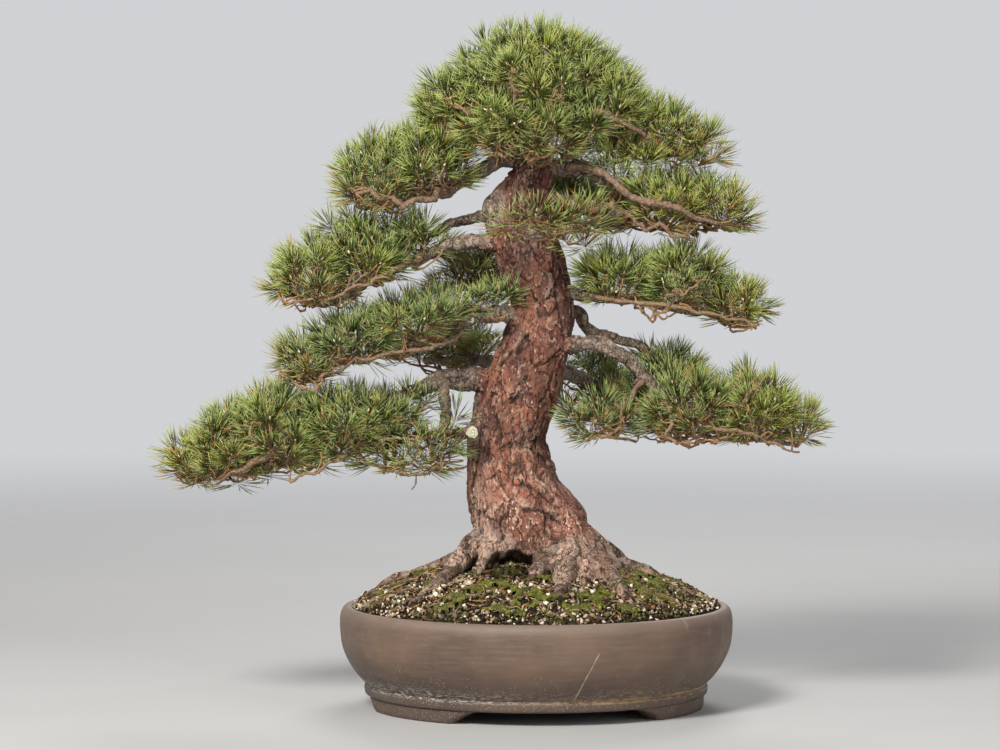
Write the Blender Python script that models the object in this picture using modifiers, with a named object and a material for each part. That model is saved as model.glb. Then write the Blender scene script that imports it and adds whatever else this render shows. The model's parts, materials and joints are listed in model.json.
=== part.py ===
# A Japanese red pine bonsai in a round, three-footed, unglazed drum pot.
# Metres, +Z up. The origin is the middle of the whole tree's footprint, at the
# level the three feet stand on; the front of the tree faces -Y.
#
# The tree is laid out on a front drawing. A drawing point (u, v) has u to the
# right and v downwards, one unit being 1.374 mm on the plane of the pot's axis;
# every point also has a depth in metres, front negative.
import math

import bpy
import bmesh
from mathutils import Matrix, Vector

# ---------------------------------------------------------------- dimensions
UNIT = 1.374e-3            # metres for one drawing unit
EYE = 5000.0               # the drawing's eye distance, in drawing units
TILT = math.radians(3.4)   # the drawing looks down by this much
AXIS_U, FOOT_V = 536.25, 705.7   # the pot's axis and the feet's level on the drawing
MID_U, MID_V = 500.0, 375.0

POT_R = 0.2705             # outside radius at the belly
POT_H = 0.1400             # feet to lip
FOOT_H = 0.0185
FLOOR_TOP = 0.0310         # top of the pot's floor
FOOT_TURN = math.radians(8.0)
FOOT_HALF_LOW, FOOT_HALF_TOP = math.radians(22.0), math.radians(30.0)
SOIL_R = 0.2520            # where the soil meets the inside of the lip
SOIL_Z0, SOIL_RISE = 0.1365, 0.0620
GAP = 0.0006               # clearance round wood, foliage and soil
ROUND = 40                 # facets round the pot, the soil and the moss

CLEAR = EYE * UNIT
CT, ST = math.cos(TILT), math.sin(TILT)
_q = -(FOOT_V - MID_V) / EYE
MID_Z = -(_q * CLEAR / (CT + _q * ST))
EYE_AT = Vector(((MID_U - AXIS_U) * UNIT, -CLEAR * CT, MID_Z + CLEAR * ST))


def raw(u, v, y):
    """A drawing point at depth y, measured from the pot's axis."""
    b = (MID_V - v) / EYE
    t = (y - EYE_AT.y) / (CT + b * ST)
    return Vector((EYE_AT.x + t * (u - MID_U) / EYE, y, EYE_AT.z + t * (-ST + b * CT)))


# ---------------------------------------------------------------- the wood
# Each limb: points (u, v, depth, radius in drawing units).
TRUNK = [
    (535, 588, 0.000, 60), (534, 560, 0.000, 60), (532.5, 538, 0.000, 59.5),
    (529.5, 519.5, 0.000, 58), (524, 504, 0.000, 54.5), (518, 489, 0.000, 50.5),
    (511.5, 473.5, -0.002, 45.5), (508.5, 458, -0.004, 43), (506, 443, -0.006, 40.5),
    (508, 427, -0.008, 40), (512, 411, -0.010, 40), (517.5, 395, -0.012, 39.3),
    (521, 382, -0.014, 38.7), (525.5, 369, -0.016, 38.2), (531, 356.5, -0.018, 37.5),
    (536.5, 343.8, -0.018, 36.2), (540, 331, -0.018, 34.5), (543, 318, -0.018, 33),
    (543, 303, -0.018, 32), (540.5, 290, -0.018, 32.3), (537, 278, -0.018, 33),
    (533.5, 266, -0.018, 34), (528.5, 255, -0.016, 35), (524, 243, -0.014, 35),
    (520, 232, -0.012, 34), (517, 220, -0.010, 35), (517, 206, -0.010, 34.5),
    (520.5, 195, -0.010, 30.5), (527, 186, -0.010, 25), (531.5, 178, -0.010, 22.5),
    (533, 168, -0.010, 20.5), (531, 155, -0.010, 17.5), (528, 138, -0.010, 14),
    (529, 118, -0.008, 11), (533, 98, -0.006, 8),
]
BRANCHES = {
    "left_low": [(505, 392, -0.015, 11), (480, 379, -0.02, 10.5), (455, 377, -0.03, 9.5), (438, 380, -0.035, 9),
                 (415, 392, -0.035, 7.5), (388, 404, -0.035, 6.5), (360, 421, -0.03, 6), (325, 437, -0.03, 5.5),
                 (290, 448, -0.03, 5), (262, 459, -0.03, 4.5), (238, 468, -0.03, 3.5), (210, 473, -0.03, 2.5)],
    "left_low_drop": [(440, 381, -0.035, 5.5), (441, 400, -0.045, 4.8), (442, 418, -0.05, 4.6), (443, 433, -0.052, 5)],
    "left_low_stub": [(440, 432, -0.051, 4.6), (455, 434, -0.058, 5.2), (465, 434, -0.070, 5.6), (471, 432, -0.088, 6.3)],
    "left_low_twig": [(446, 432, -0.052, 4), (425, 436, -0.055, 3.5), (405, 441, -0.055, 3), (380, 447, -0.055, 2.5)],
    "left_mid": [(530, 318, -0.02, 9), (505, 314, -0.045, 8.5), (485, 315, -0.055, 8), (468, 319, -0.055, 7),
                 (445, 328, -0.05, 5.5), (420, 340, -0.045, 5), (395, 350, -0.04, 4.5), (365, 359, -0.035, 4),
                 (335, 364, -0.03, 3.2), (310, 374, -0.025, 2.5)],
    "left_high": [(520, 247, -0.012, 11), (496, 243.5, -0.02, 9), (475.5, 242, -0.03, 7.5), (453, 245, -0.035, 7),
                  (435, 253, -0.035, 6.3), (411, 261, -0.035, 6), (390, 271, -0.03, 6), (368, 279, -0.03, 5.5),
                  (352, 292, -0.03, 4), (332, 302, -0.03, 3), (310, 303, -0.03, 2.3)],
    "left_high_back": [(512, 222, 0.0, 8), (487, 216, 0.005, 6.5), (470, 219, 0.01, 5.5), (453, 224, 0.015, 5),
                       (430, 233, 0.015, 4.5), (405, 246, 0.01, 4), (380, 254, 0.005, 3.5), (350, 258, 0.0, 3)],
    "top_left": [(531, 160, -0.01, 9), (505, 160, 0.0, 8), (485, 167, 0.0, 7.5), (465, 178, -0.005, 7),
                 (446, 190, -0.01, 6.5), (421, 192, -0.015, 6), (395, 194, -0.02, 5), (370, 194, -0.02, 4),
                 (350, 196, -0.02, 3)],
    "top_right": [(533, 168, -0.01, 10), (560, 168, -0.015, 8), (592, 170, -0.02, 7.5), (609, 184, -0.02, 7),
                  (629, 194, -0.02, 6.5), (655, 205, -0.02, 6), (683, 214, -0.02, 5), (715, 222, -0.02, 3.5),
                  (738, 226, -0.02, 2.5)],
    "top_right_low": [(530, 196, -0.02, 9), (565, 200, -0.03, 7), (590, 208, -0.04, 6.5), (620, 214, -0.045, 6),
                      (645, 221, -0.04, 5), (675, 229, -0.035, 4), (700, 234, -0.03, 3)],
    "front_twig": [(622, 214, -0.046, 4.5), (600, 217, -0.07, 3.6), (588, 221, -0.09, 3.2), (572, 230, -0.11, 2.8),
                   (555, 236, -0.12, 2.5), (535, 236, -0.125, 2.2), (512, 233, -0.125, 1.8)],
    "crown_right": [(529, 128, -0.008, 8), (560, 118, 0.005, 7), (590, 116, 0.01, 6), (606, 119, 0.015, 5.5),
                    (624, 128, 0.02, 5), (645, 136, 0.02, 4), (670, 146, 0.015, 3.2), (695, 152, 0.01, 2.5)],
    "right_high": [(540, 285, -0.02, 9), (565, 292, -0.03, 7.5), (590, 296, -0.035, 6), (626, 299, -0.035, 5.5),
                   (650, 303, -0.035, 5), (685, 309, -0.03, 4.5), (720, 317, -0.025, 3.5), (752, 325, -0.02, 2.3)],
    "right_low": [(550, 352, -0.03, 10), (574, 343, -0.05, 8), (597, 343, -0.06, 7), (616, 352, -0.055, 6.8),
                  (630, 364, -0.05, 6.5), (647, 379, -0.045, 6), (662, 392, -0.04, 6), (690, 408, -0.035, 5.5),
                  (725, 420, -0.03, 5), (750, 431, -0.03, 4), (775, 440, -0.03, 3), (792, 443, -0.03, 2.2)],
    "right_low_back": [(552, 318, 0.005, 8), (576, 311, 0.015, 6.5), (586, 327, 0.02, 6), (596, 335, 0.025, 5.5),
                       (608, 337, 0.03, 5), (621, 342, 0.03, 4.5), (637, 345, 0.03, 4), (655, 358, 0.03, 3.5),
                       (680, 375, 0.03, 3)],
    "back_low_left": [(515, 365, 0.0, 8), (495, 362, 0.05, 7), (475, 360, 0.10, 6), (450, 360, 0.15, 5), (425, 362, 0.18, 4)],
    "back_low_right": [(545, 370, 0.0, 9), (565, 372, 0.05, 7.5), (585, 380, 0.10, 6.5), (600, 392, 0.15, 5), (615, 402, 0.19, 4)],
    "back_mid": [(525, 262, 0.0, 8), (515, 265, 0.06, 7), (500, 272, 0.11, 6), (480, 280, 0.16, 5), (460, 284, 0.20, 3.5)],
    "back_high": [(530, 200, 0.0, 8), (545, 202, 0.05, 7), (560, 206, 0.10, 6), (580, 210, 0.15, 5), (600, 214, 0.19, 3.5)],
}
ROOTS = {
    "left_front": [(505, 545, -0.02, 22), (478, 545, -0.03, 17), (464, 558, -0.045, 13.5), (450, 573, -0.07, 10.5),
                   (436, 587, -0.10, 8), (424, 596, -0.125, 6.5), (412, 606, -0.15, 4.5)],
    "left_back": [(500, 550, 0.03, 16), (470, 558, 0.045, 10), (440, 568, 0.055, 8), (415, 574, 0.06, 6.5),
                  (395, 579, 0.055, 5.5), (381, 588, 0.045, 4.5), (369, 599, 0.035, 3.5)],
    "left_small": [(492, 548, -0.045, 10), (484, 560, -0.065, 6.5), (481, 572, -0.08, 4.5), (479, 584, -0.095, 3)],
    "front": [(545, 535, -0.03, 30), (560, 552, -0.065, 24), (562, 568, -0.10, 14), (561, 582, -0.14, 9.5),
              (561, 594, -0.175, 7), (560, 605, -0.20, 4.5)],
    "front_left": [(540, 548, -0.05, 20), (543, 562, -0.085, 13), (536, 575, -0.115, 8), (529, 585, -0.14, 5), (524, 593, -0.155, 3.5)],
    "front_right": [(570, 545, -0.03, 26), (590, 560, -0.06, 17), (605, 574, -0.095, 11), (617, 586, -0.13, 8),
                    (626, 598, -0.16, 5.5), (633, 608, -0.18, 3.5)],
    "right": [(570, 538, 0.0, 22), (599, 553, 0.0, 14), (622, 565, -0.005, 10.5), (645, 575, -0.01, 8.5),
              (660, 584, -0.02, 7.5), (668, 596, -0.04, 5)],
    "right_back": [(575, 548, 0.04, 18), (610, 560, 0.06, 9), (642, 570, 0.065, 6.5), (668, 582, 0.06, 5.5),
                   (689, 591, 0.05, 4.5), (701, 601, 0.04, 3.5)],
    "back_left": [(515, 545, 0.05, 24), (495, 556, 0.10, 14), (475, 567, 0.15, 9), (460, 577, 0.19, 6), (452, 588, 0.215, 4)],
    "back_right": [(550, 545, 0.05, 26), (565, 556, 0.10, 16), (580, 567, 0.15, 10), (590, 577, 0.19, 6.5), (596, 590, 0.22, 4)],
}

# ---------------------------------------------------------------- the foliage
# Each pad of needles is a few rounded masses: (u, v, depth, half width in
# drawing units, half depth in metres, half height in drawing units). Pads are
# flat below and domed above.
PADS = {
    "foliage_apex": [(535, 74, -0.01, 96, 0.115, 52), (470, 106, -0.01, 68, 0.105, 44), (600, 98, -0.01, 60, 0.105, 42),
                     (530, 128, -0.065, 72, 0.075, 38), (540, 108, 0.085, 82, 0.085, 46)],
    "foliage_crown_right": [(655, 128, 0.02, 62, 0.10, 35), (690, 140, 0.0, 32, 0.07, 22)],
    "foliage_top_right": [(665, 201, -0.02, 60, 0.11, 34), (716, 204, -0.01, 48, 0.08, 30)],
    "foliage_top_left": [(375, 172, -0.02, 49, 0.10, 42), (430, 156, -0.01, 52, 0.10, 38)],
    "foliage_front": [(548, 222, -0.125, 58, 0.045, 21)],
    "foliage_left_high": [(315, 270, -0.02, 50, 0.10, 40), (365, 249, -0.02, 55, 0.10, 37), (415, 236, -0.02, 38, 0.07, 24)],
    "foliage_left_mid": [(420, 315, -0.04, 62, 0.10, 32), (355, 335, -0.03, 55, 0.11, 33), (308, 357, -0.02, 35, 0.08, 30)],
    "foliage_left_low": [(192, 457, -0.03, 35, 0.08, 28), (228, 441, -0.03, 47, 0.11, 43), (278, 428, -0.03, 60, 0.12, 47), (345, 418, -0.03, 55, 0.11, 42),
                         (393, 410, -0.04, 42, 0.08, 28)],
    "foliage_left_drop": [(412, 452, -0.055, 52, 0.06, 25)],
    "foliage_right_high": [(620, 272, -0.03, 52, 0.10, 31), (680, 275, -0.03, 58, 0.11, 36), (735, 299, -0.02, 47, 0.08, 31)],
    "foliage_right_low": [(604, 416, -0.09, 46, 0.06, 26), (665, 377, 0.03, 50, 0.09, 44), (690, 405, -0.03, 62, 0.12, 41),
                          (755, 405, -0.02, 55, 0.11, 41), (795, 420, -0.01, 32, 0.07, 27)],
    "foliage_back_low_left": [(445, 352, 0.175, 58, 0.075, 27)],
    "foliage_back_low_right": [(590, 388, 0.175, 60, 0.08, 36)],
    "foliage_back_mid": [(485, 268, 0.165, 72, 0.09, 30)],
    "foliage_back_high": [(572, 200, 0.165, 74, 0.085, 32)],
}
FLAT = 0.40     # how much of a mass's half height its base plane sits below its middle

LOW_U = min(m[0] - m[3] for pad in PADS.values() for m in pad)
_left = min(raw(u - ru, v, y).x for pad in PADS.values() for u, v, y, ru, ry, rv in pad)
_right = max(raw(u + ru, v, y).x for pad in PADS.values() for u, v, y, ru, ry, rv in pad)
SHIFT = Vector((-(_left + _right) / 2, 0.0, 0.0))   # puts the origin mid-footprint


def at(u, v, y):
    return raw(u, v, y) + SHIFT


def mound(r):
    """Height of the soil's surface at radius r from the pot's axis."""
    k = max(0.0, 1.0 - (r / SOIL_R) ** 2)
    return SOIL_Z0 + SOIL_RISE * k ** 0.8


# ---------------------------------------------------------------- helpers
for old in list(bpy.data.objects):
    bpy.data.objects.remove(old)

scene = bpy.context.scene
BONSAI = bpy.data.collections.new("red_pine_bonsai")
CUTTERS = bpy.data.collections.new("cutters")
scene.collection.children.link(BONSAI)
scene.collection.children.link(CUTTERS)
CUTTERS.hide_render = True


def material(name, colour, rough, metal=0.0):
    m = bpy.data.materials.new(name)
    m.use_nodes = True
    p = m.node_tree.nodes["Principled BSDF"]
    p.inputs["Base Color"].default_value = (*colour, 1)
    p.inputs["Roughness"].default_value = rough
    p.inputs["Metallic"].default_value = metal
    return m


CLAY = material("brown_clay", (0.20, 0.145, 0.115), 0.55)
SOIL_M = material("soil_mix", (0.17, 0.12, 0.08), 0.95)
MOSS_M = material("moss", (0.10, 0.16, 0.03), 0.95)
BARK = material("red_bark", (0.27, 0.12, 0.08), 0.85)
NEEDLE = material("pine_needles", (0.12, 0.22, 0.07), 0.5)
MESH_M = material("black_plastic", (0.02, 0.02, 0.02), 0.5)


def link(obj, mat, cutter=False):
    (CUTTERS if cutter else BONSAI).objects.link(obj)
    if mat is not None:
        obj.data.materials.append(mat)
    if cutter:
        obj.hide_render = True
        obj.display_type = "WIRE"
    return obj


def from_bmesh(name, bm, mat, cutter=False, smooth=None):
    bmesh.ops.recalc_face_normals(bm, faces=bm.faces)
    me = bpy.data.meshes.new(name)
    bm.to_mesh(me)
    bm.free()
    if smooth is not None:
        me.shade_smooth()
        me.set_sharp_from_angle(angle=math.radians(smooth))
    return link(bpy.data.objects.new(name, me), mat, cutter)


def boolean(obj, other, operation):
    m = obj.modifiers.new(operation.lower() + "_" + other.name, "BOOLEAN")
    m.operation = operation
    m.solver = "EXACT"
    m.object = other


def smooth_path(points, rings):
    """Points read evenly along a Catmull-Rom curve through the given ones."""
    pts = [(at(u, v, y), r * UNIT) for u, v, y, r in points]
    ext = [(2 * pts[0][0] - pts[1][0], pts[0][1])] + pts + [(2 * pts[-1][0] - pts[-2][0], pts[-1][1])]
    fine = []
    for i in range(1, len(ext) - 2):
        (a, ra), (b, rb), (c, rc), (d, rd) = ext[i - 1:i + 3]
        for k in range(12):
            t = k / 12
            p = 0.5 * ((2 * b) + (c - a) * t + (2 * a - 5 * b + 4 * c - d) * t * t + (3 * b - a - 3 * c + d) * t ** 3)
            fine.append((p, rb + (rc - rb) * t))
    fine.append(pts[-1])
    run = [0.0]
    for (p, _), (q, _) in zip(fine, fine[1:]):
        run.append(run[-1] + (q - p).length)
    out = []
    k = 0
    for i in range(rings):
        s = run[-1] * i / (rings - 1)
        while k < len(run) - 2 and run[k + 1] < s:
            k += 1
        f = (s - run[k]) / max(1e-9, run[k + 1] - run[k])
        out.append((fine[k][0].lerp(fine[k + 1][0], f), fine[k][1] + (fine[k + 1][1] - fine[k][1]) * f))
    return out


def limb(name, points, rings, res, grow=0.0, cutter=True, mat=None):
    """A tapering limb: a bevelled curve with caps, made a mesh."""
    path = smooth_path(points, rings)
    if grow:
        p0, p1 = path[-2][0], path[-1][0]
        path[-1] = (p1 + (p1 - p0).normalized() * grow, path[-1][1])
        p0, p1 = path[1][0], path[0][0]
        path[0] = (p1 + (p1 - p0).normalized() * grow, path[0][1])
    cu = bpy.data.curves.new(name + "_curve", "CURVE")
    cu.dimensions = "3D"
    cu.bevel_depth = 1.0
    cu.bevel_resolution = res
    cu.use_fill_caps = True
    sp = cu.splines.new("POLY")
    sp.points.add(len(path) - 1)
    for q, (p, r) in zip(sp.points, path):
        q.co = (*p, 1.0)
        q.radius = r + grow
    obj = bpy.data.objects.new(name + "_curve", cu)
    scene.collection.objects.link(obj)
    bpy.context.view_layer.update()
    done = bpy.data.meshes.new_from_object(obj.evaluated_get(bpy.context.evaluated_depsgraph_get()))
    bm = bmesh.new()
    bm.from_mesh(done)
    bmesh.ops.remove_doubles(bm, verts=bm.verts, dist=1e-6)
    bpy.data.objects.remove(obj)
    bpy.data.curves.remove(cu)
    bpy.data.meshes.remove(done)
    return from_bmesh(name, bm, mat, cutter, smooth=50)


def reach(points, grow=0.003):
    """Lowest and highest corner that a limb's points and radii cover."""
    lo, hi = Vector((9,) * 3), Vector((-9,) * 3)
    for u, v, y, r in points:
        p, q = at(u, v, y), Vector((1, 1, 1)) * (r * UNIT + grow)
        lo = Vector(map(min, lo, p - q))
        hi = Vector(map(max, hi, p + q))
    return lo, hi


def meet(a, b):
    return all(a[0][k] <= b[1][k] and b[0][k] <= a[1][k] for k in range(3))


# ---------------------------------------------------------------- pot
X0 = SHIFT.x      # the pot's axis


def turned(name, profile, steps, mat, cutter=False, smooth=None):
    me = bpy.data.meshes.new(name)
    me.from_pydata([(r, 0, z) for r, z in profile], [(i, i + 1) for i in range(len(profile) - 1)], [])
    obj = link(bpy.data.objects.new(name, me), mat, cutter)
    obj.location = (X0, 0, 0)
    m = obj.modifiers.new("turn", "SCREW")
    m.axis, m.angle, m.steps, m.render_steps = "Z", 2 * math.pi, steps, steps
    m.use_merge_vertices, m.merge_threshold = True, 0.00005
    m.use_smooth_shade = True
    return obj


POT_PROFILE = [
    (0.0, FLOOR_TOP), (0.150, FLOOR_TOP), (0.205, 0.0325), (0.222, 0.040), (0.2335, 0.052), (0.2440, 0.067),
    (0.2520, 0.083), (0.2565, 0.100), (0.2577, 0.116), (0.2563, 0.128), (0.2535, 0.1365), (0.2545, 0.1392),
    (0.2590, 0.1400), (0.2640, 0.1382), (0.2683, 0.1320), (0.2702, 0.1230), (POT_R, 0.1130), (0.2696, 0.1010),
    (0.2676, 0.0860), (0.2610, 0.0690), (0.2505, 0.0515), (0.2385, 0.0380), (0.2342, 0.0350), (0.2338, 0.0328),
    (0.2360, 0.0312), (0.2363, 0.0290), (0.2352, 0.0215), (0.2335, 0.0192), (0.2290, FOOT_H), (0.0, FOOT_H),
]
pot = turned("pot", POT_PROFILE, ROUND, CLAY)


def foot(name, turn):
    """One low foot: an arc of the ring under the pot whose ends slope in to the ground."""
    bm = bmesh.new()
    levels = [(0.0, 0.0, 0.0), (0.0012, 0.0012, 0.10), (0.010, 0.002, 0.45), (0.0165, 0.002, 0.92), (FOOT_H + 0.0015, 0.002, 1.0)]
    n = 9
    rings = []
    for z, swell, k in levels:
        half = FOOT_HALF_LOW + (FOOT_HALF_TOP - FOOT_HALF_LOW) * k
        ring = []
        for r, order in ((0.228 + swell, range(n)), (0.197 - swell / 2, reversed(range(n)))):
            for i in order:
                a = turn - half + 2 * half * i / (n - 1)
                ring.append(bm.verts.new((X0 + r * math.sin(a), -r * math.cos(a), z)))
        rings.append(ring)
    for lower, upper in zip(rings, rings[1:]):
        for i in range(len(lower)):
            j = (i + 1) % len(lower)
            bm.faces.new((lower[i], lower[j], upper[j], upper[i]))
    for ring in (rings[0], rings[-1]):
        for i in range(n - 1):
            bm.faces.new((ring[i], ring[i + 1], ring[2 * n - 2 - i], ring[2 * n - 1 - i]))
    bmesh.ops.triangulate(bm, faces=bm.faces)
    return from_bmesh(name, bm, None, True)


FEET = [FOOT_TURN - math.radians(60), FOOT_TURN + math.radians(60), FOOT_TURN + math.pi]
for i, turn in enumerate(FEET):
    boolean(pot, foot(f"foot_{i}", turn), "UNION")

HOLES = {"centre": (0.0, 0.0, 0.0170), "left": (-0.120, 0.010, 0.0125), "right": (0.120, 0.010, 0.0125)}


def cylinder(name, x, y, z0, z1, r, sides):
    bm = bmesh.new()
    bmesh.ops.create_cone(bm, cap_ends=True, segments=sides, radius1=r, radius2=r, depth=z1 - z0,
                          matrix=Matrix.Translation((X0 + x, y, (z0 + z1) / 2)))
    return from_bmesh(name, bm, None, True)


def box(name, lo, hi, mat=None, cutter=True):
    bm = bmesh.new()
    c, s = (Vector(lo) + Vector(hi)) / 2, Vector(hi) - Vector(lo)
    bmesh.ops.create_cube(bm, size=1, matrix=Matrix.Translation(c) @ Matrix.Diagonal((*s, 1)))
    return from_bmesh(name, bm, mat, cutter)


for key, (x, y, r) in HOLES.items():
    boolean(pot, cylinder("hole_" + key, x, y, FOOT_H - 0.01, FLOOR_TOP + 0.01, r, 24), "DIFFERENCE")

# Plastic mesh over each drainage hole, lying on the pot's floor.
MESH_T, BAR, CELL = 0.0014, 0.0024, 0.0062
mesh_boxes = []
for key, (x, y, r) in HOLES.items():
    n = 6 if key == "centre" else 5
    side = n * CELL + (n + 1) * BAR
    lo = (X0 + x - side / 2, y - side / 2, FLOOR_TOP + 0.0003)
    hi = (X0 + x + side / 2, y + side / 2, FLOOR_TOP + 0.0003 + MESH_T)
    plate = box("drain_mesh_" + key, lo, hi, MESH_M, cutter=False)
    bm = bmesh.new()
    for i in range(n):
        for j in range(n):
            c = (lo[0] + BAR + CELL / 2 + i * (CELL + BAR), lo[1] + BAR + CELL / 2 + j * (CELL + BAR), FLOOR_TOP + 0.001)
            bmesh.ops.create_cube(bm, size=1, matrix=Matrix.Translation(c) @ Matrix.Diagonal((CELL, CELL, 0.01, 1)))
    boolean(plate, from_bmesh("mesh_cells_" + key, bm, None, True), "DIFFERENCE")
    g = 0.0006
    mesh_boxes.append(box("mesh_room_" + key, (lo[0] - g, lo[1] - g, FLOOR_TOP - 0.01), (hi[0] + g, hi[1] + g, hi[2] + g)))

# ---------------------------------------------------------------- wood
wood = limb("trunk_and_branches", TRUNK, 26, 5, cutter=False, mat=BARK)
GROWN = {}      # slightly swollen copies that cut room for the wood in its neighbours
GROWN["trunk"] = (limb("trunk_room", TRUNK, 26, 5, grow=GAP), reach(TRUNK))
for name, points in ROOTS.items():
    boolean(wood, limb("root_" + name, points, 8, 2), "UNION")
    GROWN["root_" + name] = (limb("root_room_" + name, points, 8, 2, grow=GAP), reach(points))
for name, points in BRANCHES.items():
    rings = max(5, len(points))
    boolean(wood, limb("branch_" + name, points, rings, 1), "UNION")
    GROWN["branch_" + name] = (limb("branch_room_" + name, points, rings, 1, grow=GAP), reach(points))

# ---------------------------------------------------------------- soil
g = 0.0004
SOIL_PROFILE = [(0.0, mound(0))]
for i in range(1, 15):
    r = SOIL_R * (1 - (1 - i / 14) ** 1.35)
    SOIL_PROFILE.append((r, mound(r)))
SOIL_PROFILE[-1] = (0.2530 - g, SOIL_Z0)
SOIL_PROFILE += [(0.2560 - g, 0.128), (0.2577 - g - 0.0003, 0.116), (0.2562 - g, 0.100), (0.2515 - g, 0.083),
                 (0.2433 - g, 0.067), (0.2326 - g, 0.0525), (0.2210 - g, 0.0410), (0.2042 - g, 0.0334),
                 (0.150, FLOOR_TOP + g), (0.0, FLOOR_TOP + g)]
soil = turned("soil", SOIL_PROFILE, ROUND, SOIL_M)
for cut in mesh_boxes:
    boolean(soil, cut, "DIFFERENCE")
for key, (cut, _) in GROWN.items():
    if key == "trunk" or key.startswith("root_"):
        boolean(soil, cut, "DIFFERENCE")

# ---------------------------------------------------------------- moss
# Each patch is a layer lying on the mound: the ring between two surfaces, cut to an outline.
MOSS = {
    "moss_front_left": [(-0.104, -0.178, 0.040, 0.026)],
    "moss_front_middle": [(-0.010, -0.184, 0.030, 0.026)],
    "moss_front_right": [(0.072, -0.190, 0.022, 0.026)],
    "moss_right": [(0.158, -0.060, 0.022, 0.042)],
    "moss_back": [(0.010, 0.195, 0.060, 0.024)],
}
MOSS_LOW, MOSS_T = 0.0005, 0.0055


def layer(name, low, high):
    up = [(r, mound(r) + high) for r in [SOIL_R * i / 14 for i in range(14)]]
    down = [(r, mound(r) + low) for r in [SOIL_R * i / 14 for i in reversed(range(14))]]
    return turned(name, up + down, ROUND, None, cutter=True)


for name, spots in MOSS.items():
    x, y, rx, ry = spots[0]
    bm = bmesh.new()
    bmesh.ops.create_cone(bm, cap_ends=True, segments=14, radius1=1, radius2=1, depth=0.2,
                          matrix=Matrix.Translation((X0 + x, y, 0.17)) @ Matrix.Diagonal((rx, ry, 1, 1)))
    for v in bm.verts:      # an uneven edge
        a = math.atan2(v.co.y - y, v.co.x - X0 - x)
        k = 1 + 0.13 * math.sin(3 * a + x * 40) + 0.08 * math.sin(5 * a + y * 60)
        v.co.x, v.co.y = X0 + x + (v.co.x - X0 - x) * k, y + (v.co.y - y) * k
    patch = from_bmesh(name, bm, MOSS_M)
    boolean(patch, layer("layer_" + name, MOSS_LOW, MOSS_T), "INTERSECT")
    own = (Vector((X0 + x - rx * 1.2, y - ry * 1.2, 0.13)), Vector((X0 + x + rx * 1.2, y + ry * 1.2, 0.22)))
    for key, (cut, span) in GROWN.items():
        if key.startswith(("root_", "trunk")) and meet(own, span):
            boolean(patch, cut, "DIFFERENCE")


# ---------------------------------------------------------------- foliage
def mass(name, u, v, y, ru, ry, rv, grow=0.0, mat=None, cutter=True):
    """One rounded mass of a pad: a sphere, deeper above its base plane than below it."""
    c = at(u, v + FLAT * rv, y)
    up, down = (1 + FLAT) * rv * UNIT + grow, (1 - FLAT) * rv * UNIT + grow
    bm = bmesh.new()
    bmesh.ops.create_uvsphere(bm, u_segments=11, v_segments=6, radius=1)
    for p in bm.verts:
        z = p.co.z * (up if p.co.z > 0 else down)
        p.co = c + Vector((p.co.x * (ru * UNIT + grow), p.co.y * (ry + grow), z))
    return from_bmesh(name, bm, mat, cutter, smooth=60)


def span_of(u, v, y, ru, ry, rv):
    c, q = at(u, v, y), Vector((ru * UNIT, ry, rv * UNIT * 1.05)) + Vector((0.003,) * 3)
    return c - q, c + q


earlier = []
for name, masses in PADS.items():
    pad = mass(name, *masses[0], mat=NEEDLE, cutter=False)
    spans = [span_of(*m) for m in masses]
    for i, m in enumerate(masses[1:], 1):
        boolean(pad, mass(f"{name}_mass_{i}", *m), "UNION")
    for other, m in earlier:
        if any(meet(span_of(*m), s) for s in spans):
            boolean(pad, mass(f"{name}_room_{other}", *m, grow=0.0012), "DIFFERENCE")
    for key, (cut, span) in GROWN.items():
        if not key.startswith("root_") and any(meet(span, s) for s in spans):
            boolean(pad, cut, "DIFFERENCE")
    earlier += [(f"{name}_{i}", m) for i, m in enumerate(masses)]
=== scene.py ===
# Looks of a japanese red pine bonsai: flaky bark, needles, twigs, gritty mossy soil and an
# unglazed drum pot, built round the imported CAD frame. Metres, +Z up, front towards -Y.
import itertools
import json
import math

import bpy
import numpy as np
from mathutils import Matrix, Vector
from mathutils.kdtree import KDTree

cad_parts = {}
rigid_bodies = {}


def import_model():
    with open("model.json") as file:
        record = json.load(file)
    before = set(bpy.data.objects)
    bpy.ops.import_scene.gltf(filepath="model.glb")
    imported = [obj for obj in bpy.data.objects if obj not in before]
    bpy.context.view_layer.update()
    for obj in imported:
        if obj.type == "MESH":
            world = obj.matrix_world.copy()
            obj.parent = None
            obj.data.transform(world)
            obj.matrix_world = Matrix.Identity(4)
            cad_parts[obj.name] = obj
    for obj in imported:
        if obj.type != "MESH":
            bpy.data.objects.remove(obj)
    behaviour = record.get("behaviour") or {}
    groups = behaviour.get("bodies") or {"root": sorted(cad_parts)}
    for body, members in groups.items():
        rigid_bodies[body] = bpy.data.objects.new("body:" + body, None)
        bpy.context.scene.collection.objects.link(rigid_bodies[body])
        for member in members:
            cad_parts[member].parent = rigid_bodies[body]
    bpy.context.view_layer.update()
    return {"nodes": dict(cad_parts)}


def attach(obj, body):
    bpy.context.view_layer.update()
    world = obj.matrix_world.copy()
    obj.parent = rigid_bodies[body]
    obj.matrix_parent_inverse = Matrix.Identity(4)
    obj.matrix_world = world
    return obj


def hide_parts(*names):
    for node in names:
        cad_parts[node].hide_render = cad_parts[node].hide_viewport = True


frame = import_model()
NODES = frame["nodes"]
RNG = np.random.default_rng(20260712)

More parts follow.
